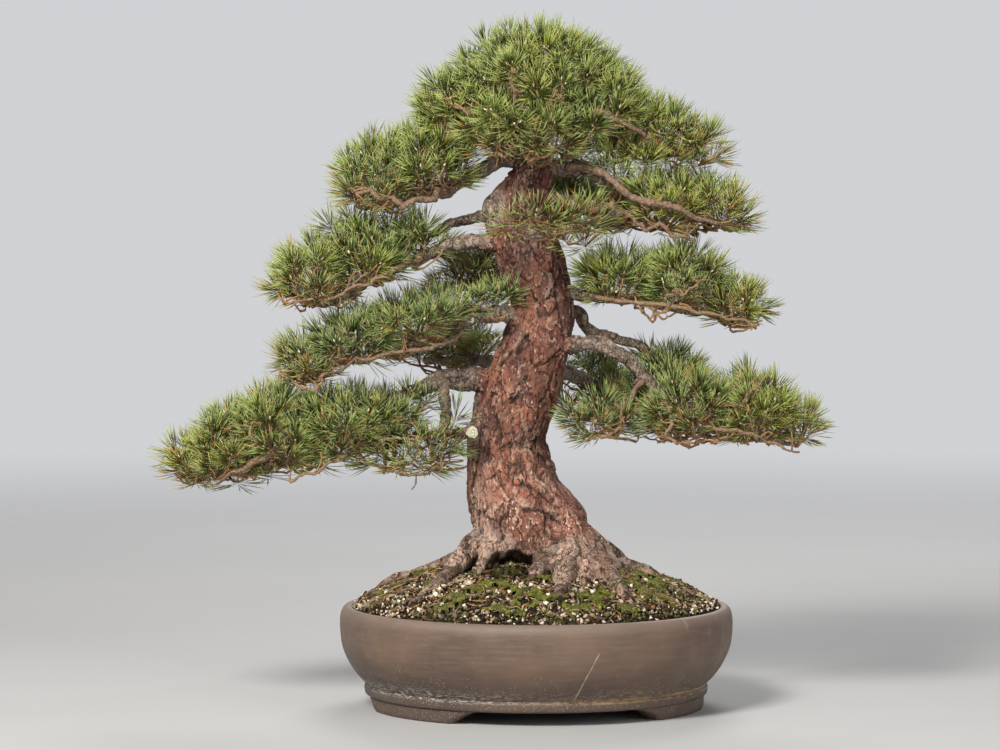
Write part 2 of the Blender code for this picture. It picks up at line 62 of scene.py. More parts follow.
# ------------------------------------------------------------------ layout
# The same front drawing as the CAD: (u, v) in units of 1.374 mm, depth in metres.
UNIT = 1.374e-3
EYE = 5000.0
TILT = math.radians(3.4)
AXIS_U, FOOT_V, MID_U, MID_V = 536.25, 705.7, 500.0, 375.0
CLEAR = EYE * UNIT
CT, ST = math.cos(TILT), math.sin(TILT)
_q = -(FOOT_V - MID_V) / EYE
MID_Z = -(_q * CLEAR / (CT + _q * ST))
X0 = 0.0602051          # the pot's axis
EYE_AT = np.array([(MID_U - AXIS_U) * UNIT + X0, -CLEAR * CT, MID_Z + CLEAR * ST])


def at(u, v, y):
    b = (MID_V - v) / EYE
    t = (y - EYE_AT[1]) / (CT + b * ST)
    return np.array([EYE_AT[0] + t * (u - MID_U) / EYE, y, EYE_AT[2] + t * (-ST + b * CT)])


def drawn(p):
    """Where points fall in the front drawing."""
    d = p - EYE_AT
    depth = d[..., 1] * CT - d[..., 2] * ST
    up = d[..., 1] * ST + d[..., 2] * CT
    return MID_U + EYE * d[..., 0] / depth, MID_V - EYE * up / depth


TRUNK = [
    (540, 588, 0.034, 34), (538, 572, 0.028, 40), (535, 560, 0.016, 48), (532.5, 538, 0.004, 56.5),
    (529.5, 519.5, 0.000, 58), (524, 504, 0.000, 54.5), (518, 489, 0.000, 50.5),
    (511.5, 473.5, -0.002, 45.5), (508.5, 458, -0.004, 43), (506, 443, -0.006, 40.5),
    (508, 427, -0.008, 40), (512, 411, -0.010, 40), (517.5, 395, -0.012, 39.3),
    (521, 382, -0.014, 38.7), (525.5, 369, -0.016, 38.2), (531, 356.5, -0.018, 37.5),
    (536.5, 343.8, -0.018, 36.2), (540, 331, -0.018, 34.5), (543, 318, -0.018, 33),
    (543, 303, -0.018, 32), (540.5, 290, -0.018, 32.3), (537, 278, -0.018, 33),
    (533.5, 266, -0.018, 34), (528.5, 255, -0.016, 35), (524, 243, -0.014, 35),
    (520, 232, -0.012, 34), (517, 220, -0.010, 34), (519, 206, -0.010, 31.5),
    (523.5, 195, -0.010, 27.5), (528, 186, -0.010, 24.5), (531.5, 178, -0.010, 22.5),
    (533, 168, -0.010, 20.5), (531, 155, -0.010, 17.5), (528, 138, -0.010, 14),
    (529, 118, -0.008, 11), (533, 98, -0.006, 8), (531, 80, -0.006, 5), (528, 62, -0.006, 3.5),
]
LUMPS = {   # swellings blended into the trunk
    "scar": [(505, 214, -0.012, 15), (495, 208, -0.014, 14), (488, 207, -0.016, 11)],
    "lobe": [(522, 505, -0.022, 27), (518, 530, -0.034, 25), (520, 546, -0.042, 20), (522, 556, -0.047, 12)],
    "skirt_left": [(500, 515, -0.012, 22), (494, 535, -0.022, 20), (490, 550, -0.028, 15)],
    "buttress": [(548, 480, -0.012, 17), (556, 510, -0.026, 22), (565, 538, -0.042, 24), (574, 556, -0.052, 19)],
    "web": [(572, 545, -0.052, 20), (580, 560, -0.072, 18), (585, 573, -0.092, 13), (588, 584, -0.112, 8)],
    "burl": [(540, 402, -0.014, 17), (549, 403, -0.020, 10.5), (554, 403, -0.022, 6)],
    "collar_low": [(512, 398, -0.02, 16), (492, 384, -0.022, 13), (478, 379, -0.024, 11)],
}
BRANCHES = {
    "left_low": [(505, 392, -0.015, 13), (480, 381, -0.02, 12.5), (457, 379, -0.03, 11), (438, 380, -0.035, 9.5),
                 (415, 392, -0.035, 7.5), (388, 404, -0.035, 6.5), (360, 421, -0.03, 6), (325, 437, -0.03, 5.5),
                 (290, 448, -0.03, 5), (262, 459, -0.03, 4.5), (238, 468, -0.03, 3.5), (210, 473, -0.03, 2.5)],
    "left_low_drop": [(443, 381, -0.035, 7), (445, 400, -0.045, 6), (445, 418, -0.05, 5.6), (444, 433, -0.052, 5.6)],
    "left_low_stub": [(440, 432, -0.051, 4.6), (455, 434, -0.058, 5.2), (465, 434, -0.070, 5.6), (471, 432, -0.0875, 6.0)],
    "left_low_twig": [(446, 432, -0.052, 4), (425, 436, -0.055, 3.5), (405, 441, -0.055, 3), (380, 447, -0.055, 2.5)],
    "left_mid": [(530, 318, -0.02, 9), (505, 314, -0.045, 8.5), (485, 315, -0.055, 8), (468, 319, -0.055, 7),
                 (445, 328, -0.05, 5.5), (420, 340, -0.045, 5), (395, 350, -0.04, 4.5), (365, 359, -0.035, 4),
                 (335, 364, -0.03, 3.2), (310, 374, -0.025, 2.5)],
    "left_high": [(520, 247, -0.012, 11), (496, 243.5, -0.02, 9), (475.5, 242, -0.03, 7.5), (453, 245, -0.035, 7),
                  (435, 253, -0.035, 6.3), (411, 261, -0.035, 6), (390, 271, -0.03, 6), (368, 279, -0.03, 5.5),
                  (352, 292, -0.03, 4), (332, 302, -0.03, 3), (310, 303, -0.03, 2.3)],
    "left_high_back": [(512, 222, 0.0, 8), (487, 216, 0.005, 6.5), (470, 219, 0.01, 5.5), (453, 224, 0.015, 5),
                       (430, 233, 0.015, 4.5), (405, 246, 0.01, 4), (380, 254, 0.005, 3.5), (350, 258, 0.0, 3)],
    "top_left": [(531, 160, -0.01, 9), (505, 160, 0.0, 8), (485, 167, 0.0, 7.5), (465, 178, -0.005, 7),
                 (446, 190, -0.01, 6.5), (421, 192, -0.015, 6), (395, 194, -0.02, 5), (370, 194, -0.02, 4),
                 (350, 196, -0.02, 3)],
    "top_right": [(533, 168, -0.01, 10), (560, 168, -0.015, 8), (592, 170, -0.02, 7.5), (609, 184, -0.02, 7),
                  (629, 194, -0.02, 6.5), (655, 205, -0.02, 6), (683, 214, -0.02, 5), (715, 222, -0.02, 3.5),
                  (738, 226, -0.02, 2.5)],
    "top_right_low": [(530, 196, -0.02, 9), (565, 200, -0.03, 7), (590, 208, -0.04, 6.5), (620, 214, -0.045, 6),
                      (645, 221, -0.04, 5), (675, 229, -0.035, 4), (700, 234, -0.03, 3)],
    "front_twig": [(622, 214, -0.046, 4.5), (600, 217, -0.07, 3.6), (588, 221, -0.09, 3.2), (572, 230, -0.11, 2.8),
                   (555, 236, -0.12, 2.5), (535, 236, -0.125, 2.2), (512, 233, -0.125, 1.8)],
    "crown_right": [(529, 128, -0.008, 8), (560, 118, 0.005, 7), (590, 116, 0.01, 6), (606, 119, 0.015, 5.5),
                    (624, 128, 0.02, 5), (645, 136, 0.02, 4), (670, 146, 0.015, 3.2), (695, 152, 0.01, 2.5)],
    "crown_left": [(529, 130, -0.008, 7), (505, 122, 0.0, 6), (480, 116, 0.0, 5), (455, 112, 0.0, 4), (432, 112, 0.0, 3)],
    "crown_front": [(529, 140, -0.01, 6), (528, 138, -0.04, 5), (530, 136, -0.07, 4), (534, 134, -0.10, 3)],
    "crown_back": [(531, 120, 0.0, 6), (534, 112, 0.04, 5), (538, 108, 0.08, 4), (542, 106, 0.12, 3)],
    "right_high": [(540, 285, -0.02, 9), (565, 292, -0.03, 7.5), (590, 296, -0.035, 6), (626, 299, -0.035, 5.5),
                   (650, 303, -0.035, 5), (685, 309, -0.03, 4.5), (720, 317, -0.025, 3.5), (752, 325, -0.02, 2.3)],
    "right_low": [(550, 352, -0.03, 10), (574, 343, -0.05, 8), (597, 343, -0.06, 7), (616, 352, -0.055, 6.8),
                  (630, 364, -0.05, 6.5), (647, 379, -0.045, 6), (662, 392, -0.04, 6), (690, 408, -0.035, 5.5),
                  (725, 420, -0.03, 5), (750, 431, -0.03, 4), (775, 440, -0.03, 3), (792, 443, -0.03, 2.2)],
    "right_low_back": [(552, 318, 0.005, 8), (576, 311, 0.015, 6.5), (586, 327, 0.02, 6), (596, 335, 0.025, 5.5),
                       (608, 337, 0.03, 5), (621, 342, 0.03, 4.5), (637, 345, 0.03, 4), (655, 358, 0.03, 3.5),
                       (680, 375, 0.03, 3)],
    "back_low_left": [(515, 365, 0.0, 8), (495, 362, 0.05, 7), (475, 360, 0.10, 6), (450, 360, 0.15, 5), (425, 362, 0.18, 4)],
    "back_low_right": [(545, 370, 0.0, 9), (565, 372, 0.05, 7.5), (585, 380, 0.10, 6.5), (600, 392, 0.15, 5), (615, 402, 0.19, 4)],
    "back_mid": [(525, 262, 0.0, 8), (515, 265, 0.06, 7), (500, 272, 0.11, 6), (480, 280, 0.16, 5), (460, 284, 0.20, 3.5)],
    "back_high": [(530, 200, 0.0, 8), (545, 202, 0.05, 7), (560, 206, 0.10, 6), (580, 210, 0.15, 5), (600, 214, 0.19, 3.5)],
}
ROOTS = {
    "left_front": [(505, 545, -0.02, 20), (478, 545, -0.03, 15.5), (464, 558, -0.045, 12), (450, 573, -0.07, 9.5),
                   (436, 587, -0.10, 7.5), (424, 596, -0.125, 6), (412, 606, -0.15, 4.2)],
    "left_back": [(500, 550, 0.03, 16), (470, 558, 0.045, 10), (440, 568, 0.055, 8), (415, 574, 0.06, 6.5),
                  (395, 579, 0.055, 5.5), (381, 588, 0.045, 4.5), (369, 599, 0.035, 3.5)],
    "left_small": [(490, 545, -0.045, 10), (484, 560, -0.065, 6.5), (481, 572, -0.08, 4.5), (479, 584, -0.095, 3)],
    "front": [(550, 535, -0.03, 27), (561, 552, -0.062, 22), (563, 568, -0.095, 16), (562, 582, -0.135, 10.5),
              (561, 594, -0.175, 7), (560, 605, -0.20, 4.5)],
    "front_left": [(545, 548, -0.05, 16), (544, 562, -0.085, 11), (537, 575, -0.115, 7.5), (529, 585, -0.14, 5), (524, 593, -0.155, 3.5)],
    "front_right": [(570, 545, -0.03, 26), (590, 560, -0.058, 20), (604, 574, -0.090, 14), (617, 586, -0.125, 9),
                    (626, 598, -0.16, 5.5), (633, 608, -0.18, 3.5)],
    "right": [(570, 538, 0.0, 22), (599, 553, 0.0, 14), (622, 565, -0.005, 10.5), (645, 575, -0.01, 8.5),
              (660, 584, -0.02, 7.5), (668, 596, -0.04, 5)],
    "right_back": [(575, 548, 0.04, 18), (610, 560, 0.06, 9), (642, 570, 0.065, 6.5), (668, 582, 0.06, 5.5),
                   (689, 591, 0.05, 4.5), (701, 601, 0.04, 3.5)],
    "back_left": [(515, 545, 0.05, 24), (495, 556, 0.10, 14), (475, 567, 0.15, 9), (460, 577, 0.19, 6), (452, 588, 0.215, 4)],
    "back_right": [(550, 545, 0.05, 26), (565, 556, 0.10, 16), (580, 567, 0.15, 10), (590, 577, 0.19, 6.5), (596, 590, 0.22, 4)],
}
PADS = {
    "foliage_apex": [(535, 74, -0.01, 96, 0.115, 52), (470, 106, -0.01, 68, 0.105, 44), (600, 98, -0.01, 60, 0.105, 42),
                     (530, 128, -0.065, 72, 0.075, 38), (540, 108, 0.085, 82, 0.085, 46)],
    "foliage_crown_right": [(655, 128, 0.02, 62, 0.10, 35), (690, 140, 0.0, 32, 0.07, 22)],
    "foliage_top_right": [(665, 201, -0.02, 60, 0.11, 34), (716, 204, -0.01, 48, 0.08, 30)],
    "foliage_top_left": [(375, 172, -0.02, 49, 0.10, 42), (430, 156, -0.01, 52, 0.10, 38)],
    "foliage_front": [(548, 222, -0.125, 58, 0.045, 21)],
    "foliage_left_high": [(315, 270, -0.02, 50, 0.10, 40), (365, 249, -0.02, 55, 0.10, 37), (415, 236, -0.02, 38, 0.07, 24)],
    "foliage_left_mid": [(420, 315, -0.04, 62, 0.10, 32), (355, 335, -0.03, 55, 0.11, 33), (308, 357, -0.02, 35, 0.08, 30)],
    "foliage_left_low": [(192, 457, -0.03, 35, 0.08, 28), (228, 441, -0.03, 47, 0.11, 43), (278, 428, -0.03, 60, 0.12, 47),
                         (345, 418, -0.03, 55, 0.11, 42), (393, 410, -0.04, 42, 0.08, 28)],
    "foliage_left_drop": [(412, 452, -0.055, 52, 0.06, 25)],
    "foliage_right_high": [(620, 272, -0.03, 52, 0.10, 31), (680, 275, -0.03, 58, 0.11, 36), (735, 299, -0.02, 47, 0.08, 31)],
    "foliage_right_low": [(604, 416, -0.09, 46, 0.06, 26), (665, 377, 0.03, 50, 0.09, 44), (690, 405, -0.03, 62, 0.12, 41),
                          (755, 405, -0.02, 55, 0.11, 41), (795, 420, -0.01, 32, 0.07, 27)],
    "foliage_back_low_left": [(445, 352, 0.175, 58, 0.075, 27)],
    "foliage_back_low_right": [(590, 388, 0.175, 60, 0.08, 36)],
    "foliage_back_mid": [(485, 268, 0.165, 72, 0.09, 30)],
    "foliage_back_high": [(572, 200, 0.165, 74, 0.085, 32)],
}
CARRIES = {
    "foliage_apex": ["trunk", "crown_left", "crown_right", "crown_front", "crown_back"],
    "foliage_crown_right": ["crown_right"], "foliage_top_right": ["top_right", "top_right_low"],
    "foliage_top_left": ["top_left"], "foliage_front": ["front_twig"],
    "foliage_left_high": ["left_high", "left_high_back"], "foliage_left_mid": ["left_mid"],
    "foliage_left_low": ["left_low"], "foliage_left_drop": ["left_low_twig", "left_low_drop"],
    "foliage_right_high": ["right_high"], "foliage_right_low": ["right_low", "right_low_back"],
    "foliage_back_low_left": ["back_low_left"], "foliage_back_low_right": ["back_low_right"],
    "foliage_back_mid": ["back_mid"], "foliage_back_high": ["back_high"],
}
SOIL_R, SOIL_Z0, SOIL_RISE = 0.2520, 0.1365, 0.0620


def mound(r):
    k = np.clip(1.0 - (np.asarray(r) / SOIL_R) ** 2, 0, None)
    return SOIL_Z0 + SOIL_RISE * k ** 0.8


# ------------------------------------------------------------------ noise
def _hash(c, seed):
    c = c.astype(np.int64)
    n = (c[..., 0] * 73856093) ^ (c[..., 1] * 19349663) ^ (c[..., 2] * 83492791) ^ (seed * 2654435761)
    n = (n ^ (n >> 13)) * 1274126177
    n = (n ^ (n >> 16)) * 668265263
    n = n ^ (n >> 15)
    return (n & 0xFFFFFF) / float(0xFFFFFF)


def noise(p, seed=0):
    """Smooth value noise in 0..1."""
    f = np.floor(p)
    t = p - f
    t = t * t * (3 - 2 * t)
    out = 0
    for dx, dy, dz in itertools.product((0, 1), repeat=3):
        w = (t[..., 0] if dx else 1 - t[..., 0]) * (t[..., 1] if dy else 1 - t[..., 1]) * (t[..., 2] if dz else 1 - t[..., 2])
        out = out + w * _hash(f + (dx, dy, dz), seed)
    return out


def fbm(p, octaves=4, seed=0):
    out, amp, tot = 0, 1.0, 0
    for i in range(octaves):
        out = out + amp * noise(p * 2 ** i + 17.3 * i, seed + i)
        tot += amp
        amp *= 0.5
    return out / tot


def plates(p, seed=0):
    """Cells of a bark layer: nearest distance, gap to the border, both cells' random numbers, and the way from the cell's point."""
    base = np.floor(p)
    f1, f2 = np.full(p.shape[0], 9.0), np.full(p.shape[0], 9.0)
    r1, r2, vec = np.zeros(p.shape[0]), np.zeros(p.shape[0]), np.zeros(p.shape)
    for d in itertools.product((-1, 0, 1), repeat=3):
        c = base + d
        to = p - (c + np.stack([_hash(c, seed), _hash(c, seed + 1), _hash(c, seed + 2)], -1))
        dist = np.linalg.norm(to, axis=1)
        rnd = _hash(c, seed + 3)
        near, next_ = dist < f1, (dist >= f1) & (dist < f2)
        f2 = np.where(near, f1, np.where(next_, dist, f2))
        r2 = np.where(near, r1, np.where(next_, rnd, r2))
        vec = np.where(near[:, None], to, vec)
        r1 = np.where(near, rnd, r1)
        f1 = np.where(near, dist, f1)
    return f1, f2 - f1, r1, r2, vec


def smooth(a, b, x):
    t = np.clip((x - a) / (b - a), 0, 1)
    return t * t * (3 - 2 * t)


def unit(v):
    return v / np.maximum(1e-9, np.linalg.norm(v, axis=-1, keepdims=True))


# ------------------------------------------------------------------ meshes
def piece(name, verts, faces, mat, attrs=None, shade=True):
    """A mesh from arrays. faces is a list of index arrays, each with one face size."""
    me = bpy.data.meshes.new(name)
    verts = np.asarray(verts, np.float32).reshape(-1, 3)
    me.vertices.add(len(verts))
    me.vertices.foreach_set("co", verts.ravel())
    faces = [np.asarray(f, np.int32) for f in faces if len(f)]
    sizes = np.concatenate([np.full(len(f), f.shape[1], np.int32) for f in faces])
    idx = np.concatenate([f.ravel() for f in faces])
    me.loops.add(len(idx))
    me.loops.foreach_set("vertex_index", idx)
    me.polygons.add(len(sizes))
    starts = np.concatenate([[0], np.cumsum(sizes)[:-1]]).astype(np.int32)
    me.polygons.foreach_set("loop_start", starts)
    me.update(calc_edges=True)
    me.validate()
    if shade:
        me.shade_smooth()
    for key, val in (attrs or {}).items():
        a = me.attributes.new(key, "FLOAT_COLOR", "POINT")
        val = np.asarray(val, np.float32)
        if val.shape[1] == 3:
            val = np.concatenate([val, np.ones((len(val), 1), np.float32)], 1)
        a.data.foreach_set("color", val.ravel())
    obj = bpy.data.objects.new(name, me)
    bpy.context.scene.collection.objects.link(obj)
    me.materials.append(mat)
    return obj


def path(points, step=0.004, jitter=0.0, seed=0):
    """Catmull-Rom through drawing points, read evenly: (centres, radii)."""
    P = np.array([at(u, v, y) for u, v, y, _ in points])
    R = np.array([r * UNIT for *_, r in points])
    P = np.vstack([2 * P[0] - P[1], P, 2 * P[-1] - P[-2]])
    R = np.concatenate([[R[0]], R, [R[-1]]])
    t = np.linspace(0, 1, 24, endpoint=False)[:, None]
    pts, rad = [], []
    for i in range(1, len(P) - 2):
        a, b, c, d = P[i - 1:i + 3]
        pts.append(0.5 * ((2 * b) + (c - a) * t + (2 * a - 5 * b + 4 * c - d) * t ** 2 + (3 * b - a - 3 * c + d) * t ** 3))
        rad.append(R[i] + (R[i + 1] - R[i]) * t[:, 0])
    pts = np.vstack(pts + [P[-2:-1]])
    rad = np.concatenate(rad + [R[-2:-1]])
    run = np.concatenate([[0], np.cumsum(np.linalg.norm(np.diff(pts, axis=0), axis=1))])
    n = max(4, int(run[-1] / step))
    s = np.linspace(0, run[-1], n)
    C = np.stack([np.interp(s, run, pts[:, k]) for k in range(3)], 1)
    if jitter:
        q = np.stack([s * 45 + seed, np.zeros(n), np.zeros(n)], 1)
        w = np.stack([fbm(q + 10 * k, 3, seed + k) - 0.5 for k in range(3)], 1)
        C = C + w * jitter * 2 * np.clip(s / 0.03, 0, 1)[:, None]
    return C, np.interp(s, run, rad)


def tube(C, R, sides):
    """A closed tube's verts, quads and cap triangles; also the angle and ring of each vertex."""
    n = len(C)
    T = unit(np.gradient(C, axis=0))
    N = np.zeros_like(C)
    ref = np.array([0, 1, 0.2]) if abs(T[0][1]) < 0.8 else np.array([1, 0, 0.2])
    N[0] = unit(np.cross(T[0], ref))
    for i in range(1, n):
        m = N[i - 1] - T[i] * np.dot(N[i - 1], T[i])
        N[i] = m / np.linalg.norm(m)
    B = np.cross(T, N)
    a = 2 * np.pi * np.arange(sides) / sides
    ring = C[:, None] + R[:, None, None] * (np.cos(a)[None, :, None] * N[:, None] + np.sin(a)[None, :, None] * B[:, None])
    verts = np.vstack([ring.reshape(-1, 3), C[:1] - T[:1] * R[0] * 0.2, C[-1:] + T[-1:] * R[-1] * 0.5])
    i = np.arange(n - 1)[:, None] * sides
    j = np.arange(sides)[None]
    k = (j + 1) % sides
    quads = np.stack([i + j, i + k, i + sides + k, i + sides + j], -1).reshape(-1, 4)
    j, k = np.arange(sides), (np.arange(sides) + 1) % sides
    low = np.stack([k, j, np.full(sides, n * sides)], 1)
    top = np.stack([(n - 1) * sides + j, (n - 1) * sides + k, np.full(sides, n * sides + 1)], 1)
    return verts, quads, np.vstack([low, top])


def many_tubes(P, R, sides):
    """Tubes of equal ring count in one go. P is (n, m, 3), R is (n, m)."""
    n, m, _ = P.shape
    T = unit(np.gradient(P, axis=1))
    ref = unit(np.array([0.31, 0.17, 0.93]))
    N = unit(np.cross(T, ref))
    B = np.cross(T, N)
    a = 2 * np.pi * np.arange(sides) / sides
    ring = P[:, :, None] + R[:, :, None, None] * (np.cos(a)[:, None] * N[:, :, None] + np.sin(a)[:, None] * B[:, :, None])
    verts = ring.reshape(-1, 3)
    base = (np.arange(n) * m * sides)[:, None, None]
    i = (np.arange(m - 1) * sides)[None, :, None]
    j = np.arange(sides)[None, None]
    k = (j + 1) % sides
    quads = np.stack([base + i + j, base + i + k, base + i + sides + k, base + i + sides + j], -1).reshape(-1, 4)
    low = (np.arange(n) * m * sides)[:, None] + np.arange(sides)[None, ::-1]
    top = (np.arange(n) * m * sides)[:, None] + (m - 1) * sides + np.arange(sides)[None]
    return verts, quads, low, top


# ------------------------------------------------------------------ materials
def new_material(name):
    m = bpy.data.materials.new(name)
    m.use_nodes = True
    return m, m.node_tree, m.node_tree.nodes["Principled BSDF"]


class Graph:
    """Short forms for building a node tree."""

    def __init__(self, nt):
        self.nt = nt

    def node(self, kind, **props):
        n = self.nt.nodes.new(kind)
        for k, v in props.items():
            setattr(n, k, v)
        return n

    def put(self, socket, value):
        if isinstance(value, bpy.types.NodeSocket):
            self.nt.links.new(value, socket)
        elif value is not None:
            if hasattr(socket.default_value, "__len__") and not hasattr(value, "__len__"):
                value = [value] * len(socket.default_value)
            if hasattr(value, "__len__") and len(value) == 3 and len(socket.default_value) == 4:
                value = (*value, 1)
            socket.default_value = value
        return socket

    def coords(self, scale=(1, 1, 1), warp=None, warp_by=0.0):
        tc = self.node("ShaderNodeTexCoord")
        mp = self.node("ShaderNodeMapping")
        mp.inputs["Scale"].default_value = scale
        src = tc.outputs["Object"]
        if warp is not None:
            nz = self.noise(src, warp, 2, out="Color")
            v = self.node("ShaderNodeVectorMath", operation="MULTIPLY_ADD")
            self.put(v.inputs[0], nz)
            v.inputs[1].default_value = (warp_by,) * 3
            self.put(v.inputs[2], src)
            src = v.outputs[0]
        self.put(mp.inputs["Vector"], src)
        return mp.outputs[0]

    def noise(self, vec, scale, detail=4, rough=0.55, out="Fac", distort=0.0):
        n = self.node("ShaderNodeTexNoise")
        self.put(n.inputs["Vector"], vec)
        n.inputs["Scale"].default_value = scale
        n.inputs["Detail"].default_value = detail
        n.inputs["Roughness"].default_value = rough
        n.inputs["Distortion"].default_value = distort
        return n.outputs[0] if out == "Fac" else n.outputs["Color"]

    def voronoi(self, vec, scale, feature="F1", out="Distance", rand=1.0):
        n = self.node("ShaderNodeTexVoronoi", feature=feature)
        self.put(n.inputs["Vector"], vec)
        n.inputs["Scale"].default_value = scale
        n.inputs["Randomness"].default_value = rand
        return n.outputs[out]

    def math(self, op, a, b=None, c=None, clamp=False):
        n = self.node("ShaderNodeMath", operation=op, use_clamp=clamp)
        for s, v in zip(n.inputs, (a, b, c)):
            if v is not None:
                self.put(s, v)
        return n.outputs[0]

    def ramp(self, x, a, b, lo=0.0, hi=1.0):
        n = self.node("ShaderNodeMapRange", interpolation_type="SMOOTHSTEP", clamp=True)
        self.put(n.inputs["Value"], x)
        for key, v in (("From Min", a), ("From Max", b), ("To Min", lo), ("To Max", hi)):
            n.inputs[key].default_value = v
        return n.outputs[0]

    def mix(self, f, a, b, kind="MIX"):
        n = self.node("ShaderNodeMix", data_type="RGBA", blend_type=kind)
        self.put(n.inputs[0], f)
        self.put(n.inputs[6], a)
        self.put(n.inputs[7], b)
        return n.outputs[2]

    def attr(self, name):
        n = self.node("ShaderNodeAttribute", attribute_name=name)
        sep = self.node("ShaderNodeSeparateColor")
        self.put(sep.inputs[0], n.outputs["Color"])
        return sep.outputs[0], sep.outputs[1], sep.outputs[2], n.outputs["Alpha"], n.outputs["Color"]

    def bump(self, height, strength, distance, normal=None):
        n = self.node("ShaderNodeBump")
        n.inputs["Strength"].default_value = strength
        n.inputs["Distance"].default_value = distance
        self.put(n.inputs["Height"], height)
        if normal is not None:
            self.put(n.inputs["Normal"], normal)
        return n.outputs[0]

    def axes(self):
        tc = self.node("ShaderNodeTexCoord")
        sep = self.node("ShaderNodeSeparateXYZ")
        self.put(sep.inputs[0], tc.outputs["Object"])
        return sep.outputs[0], sep.outputs[1], sep.outputs[2]


